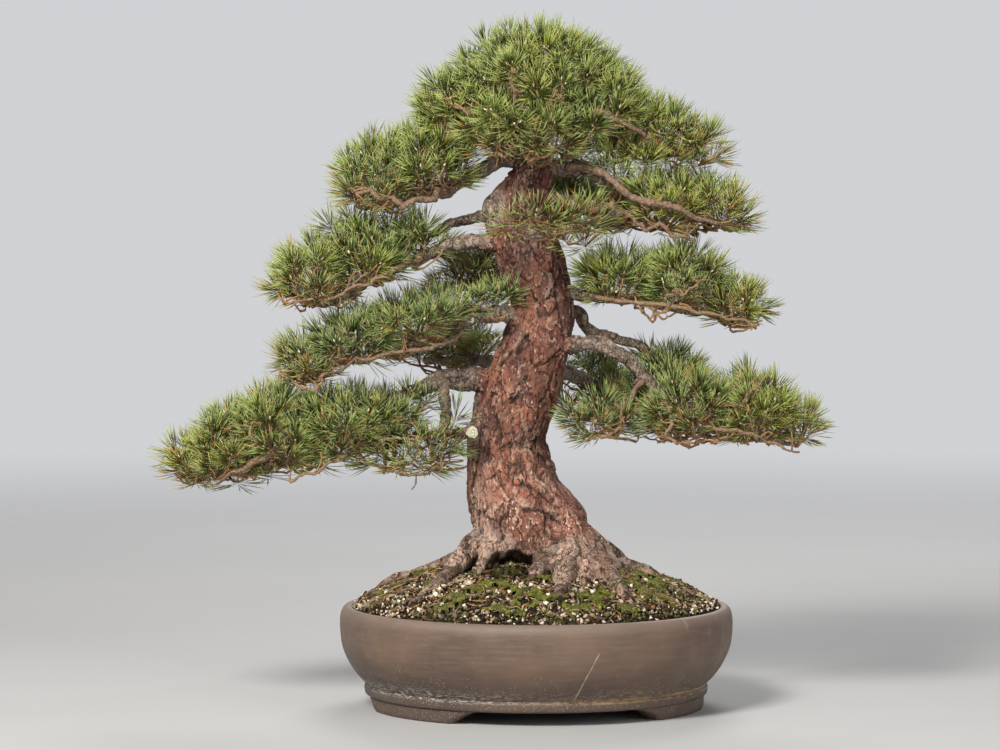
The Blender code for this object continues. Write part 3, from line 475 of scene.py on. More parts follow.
def bark_material():
    m, nt, p = new_material("flaky_bark")
    g = Graph(nt)
    plate, edge, cracks_and_painted_shade, grey, _ = g.attr("bark")
    v = g.coords(scale=(1, 1, 0.50), warp=60, warp_by=0.009)
    w = g.coords(scale=(1, 1, 0.62), warp=120, warp_by=0.005)
    big = g.noise(v, 20, 4)
    mid = g.noise(v, 64, 5, 0.6)
    fine = g.noise(w, 300, 5, 0.65)
    fibre = g.noise(g.coords(scale=(1, 1, 0.24), warp=35, warp_by=0.010), 230, 5, 0.7)

    def sheets(vec, scale, levels, rough, patch):
        """Peeling sheets: each one's tone, its pale lip (a paler edge with a painted highlight), the painted shadow
        under it and its height.
        """
        step = g.math("MULTIPLY", g.noise(vec, scale, 6, rough), levels)
        part = g.math("FRACT", step)
        level = g.math("FLOOR", step)
        cell = g.node("ShaderNodeSeparateColor")
        g.put(cell.inputs[0], g.voronoi(vec, patch, out="Color"))
        rnd = g.node("ShaderNodeTexWhiteNoise", noise_dimensions="2D")
        at_ = g.node("ShaderNodeCombineXYZ")
        g.put(at_.inputs[0], level)
        g.put(at_.inputs[1], cell.outputs[0])
        g.put(rnd.inputs[0], at_.outputs[0])
        # lip: paler edge with a painted highlight; shade: painted shadow at the foot of the step
        lip = g.math("MULTIPLY", g.ramp(part, 0.07, 0.13), g.ramp(part, 0.30, 0.20))
        shade = g.math("MAXIMUM", g.ramp(part, 0.90, 0.99), g.ramp(part, 0.09, 0.02))
        return rnd.outputs[0], lip, shade, g.math("ADD", level, g.ramp(part, 0.0, 0.14)), cell.outputs[1]

    tone1, lip1, shade1, rise1, other = sheets(v, 14, 9.5, 0.60, 24)
    tone2, lip2, shade2, rise2, small = sheets(w, 58, 7.0, 0.62, 95)
    part_a = g.ramp(g.noise(v, 30, 4), 0.44, 0.56)
    part_b = g.ramp(g.noise(v, 44, 4), 0.46, 0.58)
    lip1, shade1 = g.math("MULTIPLY", lip1, part_a), g.math("MULTIPLY", shade1, g.ramp(mid, 0.38, 0.52, 0.15, 1.0))
    lip2, shade2 = g.math("MULTIPLY", lip2, part_b), g.math("MULTIPLY", shade2, part_b)

    red = g.mix(g.ramp(tone1, 0.0, 0.45), (0.128, 0.050, 0.038), (0.255, 0.080, 0.044))
    red = g.mix(g.ramp(tone1, 0.50, 0.85), red, (0.365, 0.140, 0.082))
    red = g.mix(g.ramp(other, 0.80, 0.84, 0.0, 0.55), red, (0.215, 0.125, 0.100))
    red = g.mix(g.ramp(tone2, 0.0, 1.0, 0.0, 0.60), red, g.mix(g.ramp(small, 0.3, 0.7), (0.125, 0.052, 0.038), (0.375, 0.162, 0.102)))
    red = g.mix(g.ramp(plate, 0.60, 1.0, 0.0, 0.40), red, (0.285, 0.150, 0.112))
    red = g.mix(g.ramp(plate, 0.34, 0.05, 0.0, 0.65), red, (0.085, 0.032, 0.022))
    red = g.mix(g.ramp(big, 0.42, 0.60, 0.55, 0.0), red, (0.120, 0.052, 0.042))
    red = g.mix(g.ramp(fibre, 0.54, 0.70, 0.0, 0.45), red, (0.380, 0.200, 0.140))
    red = g.mix(g.ramp(fibre, 0.45, 0.33, 0.0, 0.60), red, (0.060, 0.025, 0.018))
    tan = g.mix(g.ramp(tone1, 0.0, 0.45), (0.120, 0.074, 0.056), (0.240, 0.162, 0.122))
    tan = g.mix(g.ramp(tone1, 0.50, 0.85), tan, (0.440, 0.325, 0.262))
    tan = g.mix(g.ramp(other, 0.72, 0.78, 0.0, 0.60), tan, (0.330, 0.190, 0.140))
    tan = g.mix(g.ramp(tone2, 0.0, 1.0, 0.0, 0.55), tan, g.mix(g.ramp(small, 0.3, 0.7), (0.095, 0.060, 0.046), (0.480, 0.385, 0.318)))
    tan = g.mix(g.ramp(plate, 0.45, 1.0, 0.0, 0.70), tan, (0.370, 0.280, 0.230))
    tan = g.mix(g.ramp(plate, 0.34, 0.05, 0.0, 0.70), tan, (0.080, 0.048, 0.036))
    tan = g.mix(g.ramp(fibre, 0.47, 0.35, 0.0, 0.75), tan, (0.045, 0.028, 0.020))
    col = g.mix(g.ramp(grey, 0.0, 1.0), red, tan)
    col = g.mix(g.ramp(fine, 0.54, 0.74, 0.0, 0.45), col, (0.085, 0.042, 0.030))

    # painted highlights on small curled flakes, and painted shade in the nicks beside them
    fv = g.coords(scale=(1, 1, 0.50), warp=140, warp_by=0.005)
    fc = g.node("ShaderNodeSeparateColor")
    g.put(fc.inputs[0], g.voronoi(fv, 260, out="Color"))
    fd = g.voronoi(fv, 260)
    busy = g.ramp(g.noise(v, 16, 3), 0.40, 0.56, 0.35, 1.0)
    pale = g.math("MULTIPLY", g.math("MULTIPLY", g.ramp(fc.outputs[0], 0.74, 0.77), g.ramp(fd, 0.48, 0.28)), busy)
    fleck_painted_shade = g.math("MULTIPLY", g.math("MULTIPLY", g.ramp(fc.outputs[0], 0.27, 0.24), g.ramp(fd, 0.50, 0.30)), busy)
    col = g.mix(g.math("MULTIPLY", fleck_painted_shade, 0.75), col, (0.040, 0.020, 0.015))
    col = g.mix(g.math("MULTIPLY", pale, g.ramp(fc.outputs[1], 0.0, 1.0, 0.25, 0.95)), col, (0.640, 0.460, 0.345))
    # painted shadow under each peeling sheet, and its paler lip with a painted highlight
    col = g.mix(g.math("MULTIPLY", shade2, 0.62), col, (0.055, 0.026, 0.018))
    col = g.mix(g.math("MULTIPLY", lip2, 0.32), col, (0.500, 0.335, 0.240))
    col = g.mix(g.math("MULTIPLY", shade1, 0.85), col, (0.036, 0.018, 0.013))
    col = g.mix(g.math("MULTIPLY", lip1, 0.55), col, (0.560, 0.385, 0.275))
    # pale flake rims, partly a painted highlight; dark cracks, partly a painted shadow, and the painted shade of the
    # hollow under the trunk
    col = g.mix(g.math("MULTIPLY", edge, 0.45), col, (0.540, 0.375, 0.270))
    col = g.mix(g.math("MULTIPLY", cracks_and_painted_shade, 0.92), col, (0.024, 0.013, 0.010))
    # a little green algae and moss low on the roots
    x, y, z = g.axes()
    limb = g.math("MULTIPLY", g.ramp(grey, 0.60, 0.95), g.ramp(z, 0.30, 0.38))
    shade = g.math("MULTIPLY", g.ramp(z, 0.50, 0.42, 0.80, 0.90), g.ramp(z, 0.37, 0.29, 1.0, 1.50))
    col = g.mix(g.math("SUBTRACT", 1.0, limb), col, shade, "MULTIPLY")
    col = g.mix(g.math("MULTIPLY", g.ramp(grey, 0.45, 0.95), g.ramp(z, 0.38, 0.30)), col, (0.66, 0.65, 0.64), "MULTIPLY")
    col = g.mix(g.math("MULTIPLY", limb, 0.46), col, g.mix(g.ramp(mid, 0.35, 0.62), (0.165, 0.122, 0.090), (0.470, 0.385, 0.295)))
    col = g.mix(g.math("MULTIPLY", limb, g.math("MULTIPLY", shade1, 0.80)), col, (0.045, 0.030, 0.022))
    root = g.math("MULTIPLY", g.ramp(grey, 0.45, 0.95), g.ramp(z, 0.31, 0.23))
    col = g.mix(root, col, g.mix(1.0, col, g.mix(g.ramp(tone1, 0.10, 0.90), (0.56, 0.51, 0.47), (1.46, 1.36, 1.28)), "MULTIPLY"))
    col = g.mix(g.math("MULTIPLY", root, g.math("MULTIPLY", g.ramp(tone2, 0.60, 0.95), 0.40)), col, (0.520, 0.400, 0.330))
    col = g.mix(g.math("MULTIPLY", root, g.math("MULTIPLY", g.math("MAXIMUM", shade1, shade2), 0.85)), col, (0.034, 0.020, 0.015))
    # painted shade: near black in the hollow under the trunk's front, between the roots
    hx, hy, hz = (g.math("MULTIPLY", g.math("SUBTRACT", a, b), c) for a, b, c in
                  ((x, 0.019, 28.0), (y, -0.070, 22.0), (z, 0.198, 34.0)))
    near = g.math("ADD", g.math("ADD", g.math("MULTIPLY", hx, hx), g.math("MULTIPLY", hy, hy)), g.math("MULTIPLY", hz, hz))
    near = g.math("ADD", near, g.math("MULTIPLY", g.math("SUBTRACT", g.noise(v, 75, 4), 0.5), 0.9))
    col = g.mix(g.ramp(near, 0.78, 0.60, 0.0, 0.80), col, (0.018, 0.012, 0.009))
    bv_ = g.coords(scale=(0.6, 0.9, 1.0), warp=110, warp_by=0.022)
    crackle = g.ramp(g.voronoi(bv_, 120, feature="DISTANCE_TO_EDGE"), 0.10, 0.015)
    crackle = g.math("MULTIPLY", g.math("MULTIPLY", crackle, g.ramp(mid, 0.42, 0.54)), limb)
    col = g.mix(g.math("MULTIPLY", crackle, 0.62), col, (0.050, 0.033, 0.024))
    low = g.math("MULTIPLY", g.ramp(z, 0.225, 0.180), g.ramp(g.noise(v, 42, 4), 0.52, 0.64))
    col = g.mix(g.math("MULTIPLY", low, 0.35), col, (0.105, 0.110, 0.030))
    # darker low on the roots, towards the soil
    soil_line_darkening = g.math("MULTIPLY", g.ramp(z, 0.186, 0.168), g.ramp(mid, 0.35, 0.60, 0.35, 0.85))
    col = g.mix(g.math("MULTIPLY", soil_line_darkening, 0.40), col, (0.075, 0.055, 0.038))
    g.put(p.inputs["Base Color"], col)
    g.put(p.inputs["Roughness"], g.ramp(fine, 0.3, 0.7, 0.60, 0.88))
    p.inputs["Specular IOR Level"].default_value = 0.22
    b = g.bump(rise1, 1.0, 0.0016)
    b = g.bump(rise2, 1.0, 0.0008, b)
    b = g.bump(g.math("SUBTRACT", pale, fleck_painted_shade), 1.0, 0.0012, b)
    b = g.bump(g.math("SUBTRACT", 1.0, crackle), 1.0, 0.0016, b)
    b = g.bump(fibre, 0.8, 0.0013, b)
    b = g.bump(fine, 0.6, 0.0008, b)
    g.put(p.inputs["Normal"], b)
    return m


def twig_material():
    m, nt, p = new_material("twig_bark")
    g = Graph(nt)
    tone, young, bud, shade, _ = g.attr("twig")
    v = g.coords()
    n = g.noise(v, 260, 5, 0.6)
    flake = g.noise(g.coords(scale=(1, 1, 1), warp=180, warp_by=0.003), 620, 4, 0.7)
    old = g.mix(g.ramp(n, 0.35, 0.68), (0.066, 0.038, 0.026), (0.285, 0.180, 0.115))
    old = g.mix(g.ramp(flake, 0.52, 0.66, 0.0, 0.60), old, (0.420, 0.300, 0.205))
    old = g.mix(g.ramp(flake, 0.46, 0.36, 0.0, 0.85), old, (0.040, 0.025, 0.018))
    new = g.mix(g.ramp(tone, 0.0, 1.0), (0.300, 0.140, 0.058), (0.540, 0.320, 0.120))
    col = g.mix(young, old, new)
    col = g.mix(g.ramp(n, 0.52, 0.72, 0.0, 0.5), col, (0.13, 0.062, 0.030))
    col = g.mix(bud, col, g.mix(tone, (0.50, 0.34, 0.19), (0.80, 0.68, 0.48)))
    g.put(p.inputs["Base Color"], col)
    g.put(p.inputs["Roughness"], g.ramp(n, 0.3, 0.7, 0.62, 0.88))
    g.put(p.inputs["Normal"], g.bump(n, 0.8, 0.0008))
    return m


def needle_material():
    m, nt, p = new_material("pine_needle")
    g = Graph(nt)
    tuft, each, along, brown, _ = g.attr("needle")
    deep = g.mix(tuft, (0.030, 0.058, 0.014), (0.070, 0.096, 0.013))
    fresh = g.mix(tuft, (0.200, 0.282, 0.084), (0.360, 0.405, 0.056))
    # each needle between dark and fresh green; the inner tufts sit at the dark end as painted shade inside the pad
    col = g.mix(g.ramp(each, 0.0, 1.0), deep, fresh)
    # painted shade low on each needle, inside the tuft
    col = g.mix(g.ramp(along, 0.60, 0.10, 0.0, 0.50), col, (0.050, 0.060, 0.014))
    col = g.mix(g.ramp(along, 0.50, 1.0, 0.0, 0.60), col, (0.560, 0.620, 0.225))
    col = g.mix(g.ramp(along, 0.24, 0.06, 0.0, 0.85), col, (0.560, 0.380, 0.120))
    col = g.mix(brown, col, (0.420, 0.215, 0.070))
    g.put(p.inputs["Base Color"], col)
    v = g.coords()
    g.put(p.inputs["Roughness"], g.ramp(g.noise(v, 300, 2), 0.3, 0.7, 0.34, 0.50))
    p.inputs["Specular IOR Level"].default_value = 0.40
    return m


def grain_material():
    m, nt, p = new_material("soil_grains")
    g = Graph(nt)
    *_, col = g.attr("grain")
    v = g.coords()
    n = g.noise(v, 420, 5, 0.65)
    g.put(p.inputs["Base Color"], g.mix(g.ramp(n, 0.42, 0.70, 0.0, 0.5), col, (0.060, 0.040, 0.026)))
    p.inputs["Roughness"].default_value = 0.93
    p.inputs["Specular IOR Level"].default_value = 0.12
    g.put(p.inputs["Normal"], g.bump(n, 0.9, 0.0012))
    return m


def soil_material():
    m, nt, p = new_material("soil_bed")
    g = Graph(nt)
    v = g.coords()
    cell = g.voronoi(v, 210, out="Color")
    d = g.voronoi(v, 210)
    n = g.noise(v, 130, 6, 0.7)
    col = g.mix(g.ramp(n, 0.38, 0.66), (0.014, 0.010, 0.007), (0.062, 0.040, 0.025))
    col = g.mix(g.ramp(d, 0.42, 0.1, 0.0, 0.35), col, g.mix(0.75, cell, (0.16, 0.115, 0.075)))
    g.put(p.inputs["Base Color"], col)
    p.inputs["Roughness"].default_value = 0.97
    p.inputs["Specular IOR Level"].default_value = 0.10
    g.put(p.inputs["Normal"], g.bump(g.math("SUBTRACT", n, d), 1.0, 0.004))
    return m


def moss_material():
    m, nt, p = new_material("moss_green")
    g = Graph(nt)
    tip, rnd, dry, _, _ = g.attr("moss")
    v = g.coords()
    n = g.noise(v, 48, 5)
    k = g.noise(v, 170, 4)
    col = g.mix(g.ramp(rnd, 0.0, 1.0), (0.026, 0.036, 0.005), (0.165, 0.175, 0.014))
    col = g.mix(g.math("MULTIPLY", g.ramp(tip, 0.3, 1.0), g.ramp(n, 0.42, 0.58, 0.10, 0.95)), col, (0.500, 0.500, 0.050))
    col = g.mix(g.ramp(n, 0.58, 0.70, 0.0, 0.45), col, (0.125, 0.105, 0.030))
    col = g.mix(g.ramp(k, 0.55, 0.68, 0.0, 0.8), col, (0.020, 0.026, 0.006))
    col = g.mix(g.ramp(k, 0.44, 0.34, 0.0, 0.55), col, (0.400, 0.400, 0.050))
    col = g.mix(dry, col, (0.200, 0.140, 0.066))
    g.put(p.inputs["Base Color"], col)
    p.inputs["Roughness"].default_value = 0.9
    g.put(p.inputs["Normal"], g.bump(g.noise(v, 500, 4), 0.9, 0.0015))
    return m


def pot_material():
    m, nt, p = new_material("unglazed_clay")
    g = Graph(nt)
    x, y, z = g.axes()
    v = g.coords()
    flat = g.coords(scale=(1, 1, 9.0))
    cloud = g.noise(v, 7, 5, 0.6)
    mott = g.noise(v, 38, 5, 0.6)
    brush = g.noise(flat, 22, 5, 0.6)
    fine = g.noise(v, 700, 4, 0.6)
    col = g.mix(g.ramp(cloud, 0.36, 0.64), (0.100, 0.066, 0.047), (0.168, 0.106, 0.069))
    col = g.mix(g.ramp(mott, 0.38, 0.68, 0.0, 0.60), col, (0.140, 0.098, 0.076))
    col = g.mix(g.ramp(brush, 0.44, 0.66, 0.0, 0.35), col, (0.190, 0.136, 0.104))
    # darker towards the base as painted shade, paler on the lip as a painted sheen
    col = g.mix(g.ramp(z, 0.090, 0.030, 0.0, 0.60), col, (0.072, 0.052, 0.040))
    col = g.mix(g.ramp(z, 0.122, 0.140, 0.0, 0.50), col, (0.260, 0.196, 0.162))
    # mineral specks, thickest above the band
    speck = g.voronoi(v, 330)
    keep = g.noise(v, 60, 3)
    near = g.math("ADD", g.ramp(z, 0.080, 0.034, 0.16, 0.50), g.ramp(x, 0.02, -0.16, 0.0, 0.10))
    dots = g.math("MULTIPLY", g.ramp(speck, 0.24, 0.12), g.ramp(g.math("ADD", keep, near), 0.80, 0.94))
    col = g.mix(g.math("MULTIPLY", dots, 0.75), col, (0.52, 0.46, 0.39))
    pits = g.math("MULTIPLY", g.ramp(g.voronoi(v, 240), 0.17, 0.09), g.ramp(g.noise(v, 26, 3), 0.50, 0.60))
    col = g.mix(g.math("MULTIPLY", pits, 0.65), col, (0.050, 0.036, 0.028))
    streak = g.noise(g.coords(scale=(1, 1, 5.0), warp=30, warp_by=0.01), 120, 4, 0.6)
    band = g.math("MULTIPLY", g.ramp(z, 0.052, 0.036), g.ramp(z, 0.028, 0.033))
    left = g.ramp(x, 0.10, -0.12, 0.35, 1.0)
    crust = g.math("MULTIPLY", g.math("MULTIPLY", band, left), g.ramp(streak, 0.48, 0.60))
    col = g.mix(g.math("MULTIPLY", crust, 0.90), col, (0.54, 0.49, 0.43))
    # pale vertical streaks towards the right edge of the body: painted highlight
    streak_painted_highlight = g.noise(g.coords(scale=(1, 1, 0.28), warp=16, warp_by=0.03), 46, 5, 0.62)
    streak_painted_highlight = g.math("MULTIPLY", g.math("MULTIPLY", g.ramp(streak_painted_highlight, 0.60, 0.70), g.ramp(x, 0.16, 0.27)), g.ramp(z, 0.060, 0.075))
    col = g.mix(g.math("MULTIPLY", streak_painted_highlight, 0.35), col, (0.34, 0.29, 0.25))
    # an ochre stain along the band's right half
    ochre = g.math("MULTIPLY", g.math("MULTIPLY", g.ramp(z, 0.0395, 0.0345), g.ramp(z, 0.0275, 0.0305)), g.ramp(x, 0.02, 0.14))
    ochre = g.math("MULTIPLY", ochre, g.ramp(g.noise(v, 90, 4), 0.38, 0.6))
    col = g.mix(g.math("MULTIPLY", ochre, 0.75), col, (0.36, 0.235, 0.105))
    # one thin pale scratch on the front
    # from (0.143, z 0.103) down to (0.108, z 0.034)
    dz = g.math("SUBTRACT", z, 0.034)
    sx = g.math("MULTIPLY_ADD", dz, 0.5072, 0.108)
    wob = g.math("MULTIPLY_ADD", g.noise(v, 30, 3), 0.003, -0.0015)
    off = g.math("ABSOLUTE", g.math("SUBTRACT", g.math("ADD", x, wob), sx))
    line = g.math("MULTIPLY", g.ramp(off, 0.0012, 0.0004), g.math("MULTIPLY", g.ramp(z, 0.104, 0.100), g.ramp(z, 0.033, 0.037)))
    line = g.math("MULTIPLY", line, g.math("MULTIPLY", g.ramp(y, -0.10, -0.12), g.ramp(g.noise(v, 160, 3), 0.36, 0.52, 0.35, 1.0)))
    col = g.mix(g.math("MULTIPLY", line, 0.8), col, (0.50, 0.38, 0.27))
    g.put(p.inputs["Base Color"], col)
    g.put(p.inputs["Roughness"], g.ramp(mott, 0.3, 0.7, 0.48, 0.66))
    p.inputs["Specular IOR Level"].default_value = 0.38
    b = g.bump(fine, 0.35, 0.0005)
    b = g.bump(brush, 0.25, 0.0012, b)
    b = g.bump(g.math("ADD", dots, line), 0.5, 0.0006, b)
    g.put(p.inputs["Normal"], b)
    return m


def plastic_material():
    m, nt, p = new_material("drain_net_plastic")
    g = Graph(nt)
    v = g.coords()
    n = g.noise(v, 400, 4)
    g.put(p.inputs["Base Color"], g.mix(g.ramp(n, 0.3, 0.7), (0.012, 0.012, 0.013), (0.035, 0.033, 0.030)))
    g.put(p.inputs["Roughness"], g.ramp(n, 0.3, 0.7, 0.42, 0.7))
    g.put(p.inputs["Normal"], g.bump(n, 0.3, 0.0003))
    return m


def cut_wood_material():
    m, nt, p = new_material("cut_wood")
    g = Graph(nt)
    ring, rnd, dark, _, _ = g.attr("cut")
    v = g.coords()
    n = g.noise(v, 500, 5, 0.65)
    waves = g.math("SINE", g.math("MULTIPLY_ADD", ring, 30.0, g.math("MULTIPLY", n, 5.0)))
    col = g.mix(g.ramp(waves, -0.8, 0.8), (0.33, 0.31, 0.19), (0.66, 0.64, 0.50))
    col = g.mix(g.ramp(n, 0.5, 0.7, 0.0, 0.7), col, (0.20, 0.20, 0.09))
    g.put(p.inputs["Base Color"], g.mix(dark, col, (0.12, 0.06, 0.035)))
    p.inputs["Roughness"].default_value = 0.85
    g.put(p.inputs["Normal"], g.bump(n, 0.9, 0.0010))
    return m


BARK, TWIG, NEEDLE = bark_material(), twig_material(), needle_material()
GRAIN, SOIL, MOSS, CLAY, NET, CUT = grain_material(), soil_material(), moss_material(), pot_material(), plastic_material(), cut_wood_material()

# ------------------------------------------------------------------ trunk, roots and collars
LIMBS = {"trunk": path(TRUNK, 0.005)}
for name, pts in ROOTS.items():
    LIMBS["root_" + name] = path(pts, 0.005, jitter=0.0028, seed=len(LIMBS))
for name, pts in BRANCHES.items():
    LIMBS[name] = path(pts, 0.0030, jitter=0.0035, seed=len(LIMBS))


def lobed(verts, n, sides, amount, seed):
    """Pushes a tube's rings out of round."""
    ring = verts[:n * sides].reshape(n, sides, 3)
    mid = ring.mean(axis=1, keepdims=True)
    k = 1 + amount * (fbm(ring.reshape(-1, 3) * (24, 24, 8), 3, seed) - 0.5).reshape(n, sides, 1)
    out = verts.copy()
    out[:n * sides] = (mid + (ring - mid) * k).reshape(-1, 3)
    return out


def bark_layer(q, seed, warp):
    """One layer of plates: height in -1..1, tone, pale rim on the upper plate with a painted highlight, dark seam on
    the lower one with a painted shadow.
    """
    q = q + warp * np.stack([fbm(q * 1.9 + 9 * k, 3, seed + 40 + k) - 0.5 for k in range(3)], 1)
    f1, gap, r1, r2, vec = plates(q, seed)
    turn = 2 * np.pi * r1 * 7.0
    tilt = vec[:, 0] * np.cos(turn) + vec[:, 1] * np.sin(turn) - 0.9 * vec[:, 2]
    h = 2 * r1 - 1 + 0.75 * tilt
    over = r1 > r2
    h = h * smooth(0.0, 0.10, gap) + (1 - smooth(0.0, 0.10, gap)) * (np.where(over, 0.4, -0.9))
    rim = (1 - smooth(0.05, 0.17, gap)) * over * smooth(0.25, 0.6, np.abs(r1 - r2))
    seam = (1 - smooth(0.02, 0.14, gap)) * ~over
    return h, r1, rim, seam


parts_v, parts_q, parts_t, off = [], [], [], 0


def add(C, R, sides, amount=0.0, seed=0):
    global off
    v, q, t = tube(C, R, sides)
    if amount:
        v = lobed(v, len(C), sides, amount, seed)
    parts_v.append(v)
    parts_q.append(q + off)
    parts_t.append(t + off)
    off += len(v)


C, R = LIMBS["trunk"]
keep = C[:, 2] < 0.83
add(C[keep], R[keep] * 0.975, 44, 0.26, 3)
for i, (name, pts) in enumerate(LUMPS.items()):
    add(*path(pts, 0.005), 20, 0.25, 20 + i)
for i, name in enumerate(ROOTS):
    add(*LIMBS["root_" + name], 18, 0.42, 30 + i)
for name in BRANCHES:
    C, R = LIMBS[name]
    if R[0] > 0.0085 and name not in ("left_low_drop", "front_twig"):
        m = min(len(C), int((0.030 + 2.6 * R[0]) / 0.003))
        flare = 1 + 0.45 * np.exp(-np.arange(m) * 0.003 / 0.014)
        add(C[:m], R[:m] * flare * np.interp(np.arange(m), [0, m - 8, m - 1], [1, 1, 0.75]), 14, 0.3, 50)

blank = bpy.data.materials.new("blank")
body = piece("wood_body", np.vstack(parts_v), [np.vstack(parts_q), np.vstack(parts_t)], blank)
rm = body.modifiers.new("remesh", "REMESH")
rm.mode = "VOXEL"
rm.voxel_size = 0.00240
sm = body.modifiers.new("smooth", "SMOOTH")
sm.factor, sm.iterations = 0.5, 7
bpy.context.view_layer.update()
got = bpy.data.meshes.new_from_object(body.evaluated_get(bpy.context.evaluated_depsgraph_get()))
V = np.zeros(len(got.vertices) * 3, np.float32)
got.vertices.foreach_get("co", V)
V = V.reshape(-1, 3).astype(np.float64)
NV = np.zeros(len(got.vertices) * 3, np.float32)
got.vertex_normals.foreach_get("vector", NV)
NV = NV.reshape(-1, 3).astype(np.float64)
loops = np.zeros(len(got.loops), np.int32)
got.loops.foreach_get("vertex_index", loops)
Q = loops.reshape(-1, 4)
bpy.data.objects.remove(body)
bpy.data.meshes.remove(got)

# how far each point is from the trunk's axis tells trunk from roots and branches
TC, TR = LIMBS["trunk"]
order = np.argsort(TC[:, 2])
axis_x = np.interp(V[:, 2], TC[order, 2], TC[order, 0])
axis_y = np.interp(V[:, 2], TC[order, 2], TC[order, 1])
axis_r = np.interp(V[:, 2], TC[order, 2], TR[order])
away = np.hypot(V[:, 0] - axis_x, V[:, 1] - axis_y) / axis_r
limb_like = smooth(1.10, 1.5, away)
low = smooth(0.262, 0.215, V[:, 2])
side = (V[:, 0] - axis_x) / axis_r
grey = np.clip(0.90 * limb_like + 0.55 * low + 0.55 * smooth(0.55, 0.95, -side) * smooth(0.40, 0.60, noise(V * (20, 20, 7), 12))
               + 0.36 * smooth(0.05, 0.65, -side) * smooth(0.47, 0.41, V[:, 2]) * smooth(0.30, 0.52, noise(V * (22, 22, 9), 13))
               + 0.45 * (noise(V * (26, 26, 12), 11) - 0.45), 0, 1)
scar = np.linalg.norm(V - at(488, 208, -0.03), axis=1)
grey = np.maximum(grey, smooth(0.040, 0.022, scar) * 0.9)
W = np.stack([V[:, 0] - axis_x, V[:, 1] - axis_y, V[:, 2]], 1)
lean = np.array([1, 1, 0.46])
h1, t1_, rim1, seam1 = bark_layer(W / 0.032 * lean, 5, 0.55)
h2, t2_, rim2, seam2 = bark_layer((W + 0.31) / 0.0165 * (1, 1, 0.55), 25, 0.50)
h3, t3_, rim3, seam3 = bark_layer((W + 0.77) / 0.0092 * (1, 1, 0.75), 65, 0.40)
rough = smooth(0.34, 0.60, noise(W * (34, 34, 16), 33) + 0.25 * np.maximum(limb_like, low))
thin = smooth(0.006, 0.020, np.minimum(axis_r, 0.05)) * (1 - 0.40 * limb_like)
calm = 1 - 0.68 * np.maximum(limb_like, low)
flat_ = smooth(0.44, 0.37, V[:, 2])
h = 0.0021 * h1 * thin * (1 - 0.50 * flat_) + (1 - 0.30 * flat_) * (0.0013 * h2 * (0.45 + 0.55 * rough) + 0.0007 * h3 * rough) * calm
h = h - 0.0017 * seam1 * thin - 0.0009 * seam2 * (0.4 + 0.6 * calm)
buried = smooth(0.150, 0.175, V[:, 2])
V2 = V + NV * (h * buried)[:, None]
tone = np.clip(0.50 * t1_ + 0.32 * t2_ + 0.30 * t3_ - 0.06, 0, 1)
ragged = noise(W * (75, 75, 42), 51)
ragged2 = noise(W * (60, 60, 30), 57)
# pale rims carry a painted highlight and dark seams a painted shadow, besides the real plate edges and cracks
rims = np.clip(rim1 * thin + 0.85 * rim2 * rough + 0.6 * rim3 * rough, 0, 1) * smooth(0.44, 0.62, ragged)
seams = np.clip(1.1 * seam1 * thin * smooth(0.20, 0.42, ragged2) + (0.70 * seam2 * (0.3 + 0.7 * rough) + 0.4 * seam3 * rough) * smooth(0.30, 0.56, ragged2), 0, 1)
su, sv = drawn(V)
# the right flank draws in above the roots' swell, the left one stands a little fuller
V2[:, 0] += UNIT * smooth(0.10, 0.80, side) * np.interp(sv, [456, 464, 472, 480, 488, 496, 504, 512], [0, -3, -8, -11.5, -9, -7, -3.5, 0])
V2[:, 0] += UNIT * smooth(-0.10, -0.80, side) * np.interp(sv, [476, 488, 496, 512, 524, 534], [0, -3, -4, -4, -3.5, 0])
# rings of the healed scar
sr = np.hypot(su - 488, (sv - 208) / 1.12) + 1.6 * (noise(V * 70, 91) - 0.5)
front = smooth(0.004, -0.008, V[:, 1] - axis_y)
rings = front * (smooth(7.9, 8.9, sr) * smooth(11.2, 10.0, sr) + 0.55 * smooth(4.3, 4.9, sr) * smooth(6.3, 5.6, sr) + 0.6 * smooth(2.3, 1.2, sr))
V2 -= NV * (0.0020 * rings)[:, None]
seams = np.clip(np.maximum(seams * (1 - 0.7 * front * smooth(9.0, 7.5, sr)), 0.85 * rings), 0, 1)
# long fissures running up the trunk
fw = W * (24, 24, 6.5) + 0.9 * np.stack([noise(W * 40, 81) - 0.5, noise(W * 40, 82) - 0.5, V[:, 2] * 0], 1)
fissure = smooth(0.040, 0.0, np.abs(noise(fw, 83) - 0.5)) * smooth(0.42, 0.60, noise(W * (18, 18, 9), 84)) * (1 - 0.7 * limb_like)
V2 -= NV * (0.0034 * fissure * buried)[:, None]
seams = np.maximum(seams, 0.80 * fissure * smooth(0.25, 0.50, ragged2))
seams = np.maximum(seams, np.maximum(limb_like, low) * seam2 * 0.75 * smooth(0.30, 0.50, ragged))
# the hollow under the trunk's front, between two roots: pushed in and darkened with painted shade
hollow = np.linalg.norm((V - at(517, 574, -0.066)) / (1.0, 1.5, 0.82), axis=1) + 0.014 * (noise(V * 90, 71) - 0.5)
hollow_painted_shade = smooth(0.0345, 0.0300, hollow)
V2[:, 1] += 0.026 * smooth(0.0375, 0.0260, hollow)
seams = np.maximum(seams * smooth(0.030, 0.036, hollow), hollow_painted_shade)
bark_attr = np.stack([tone, rims, seams, grey], 1)
trunk = piece("trunk_bark", V2, [Q], BARK, {"bark": bark_attr})
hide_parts("trunk_and_branches")
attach(trunk, "root")

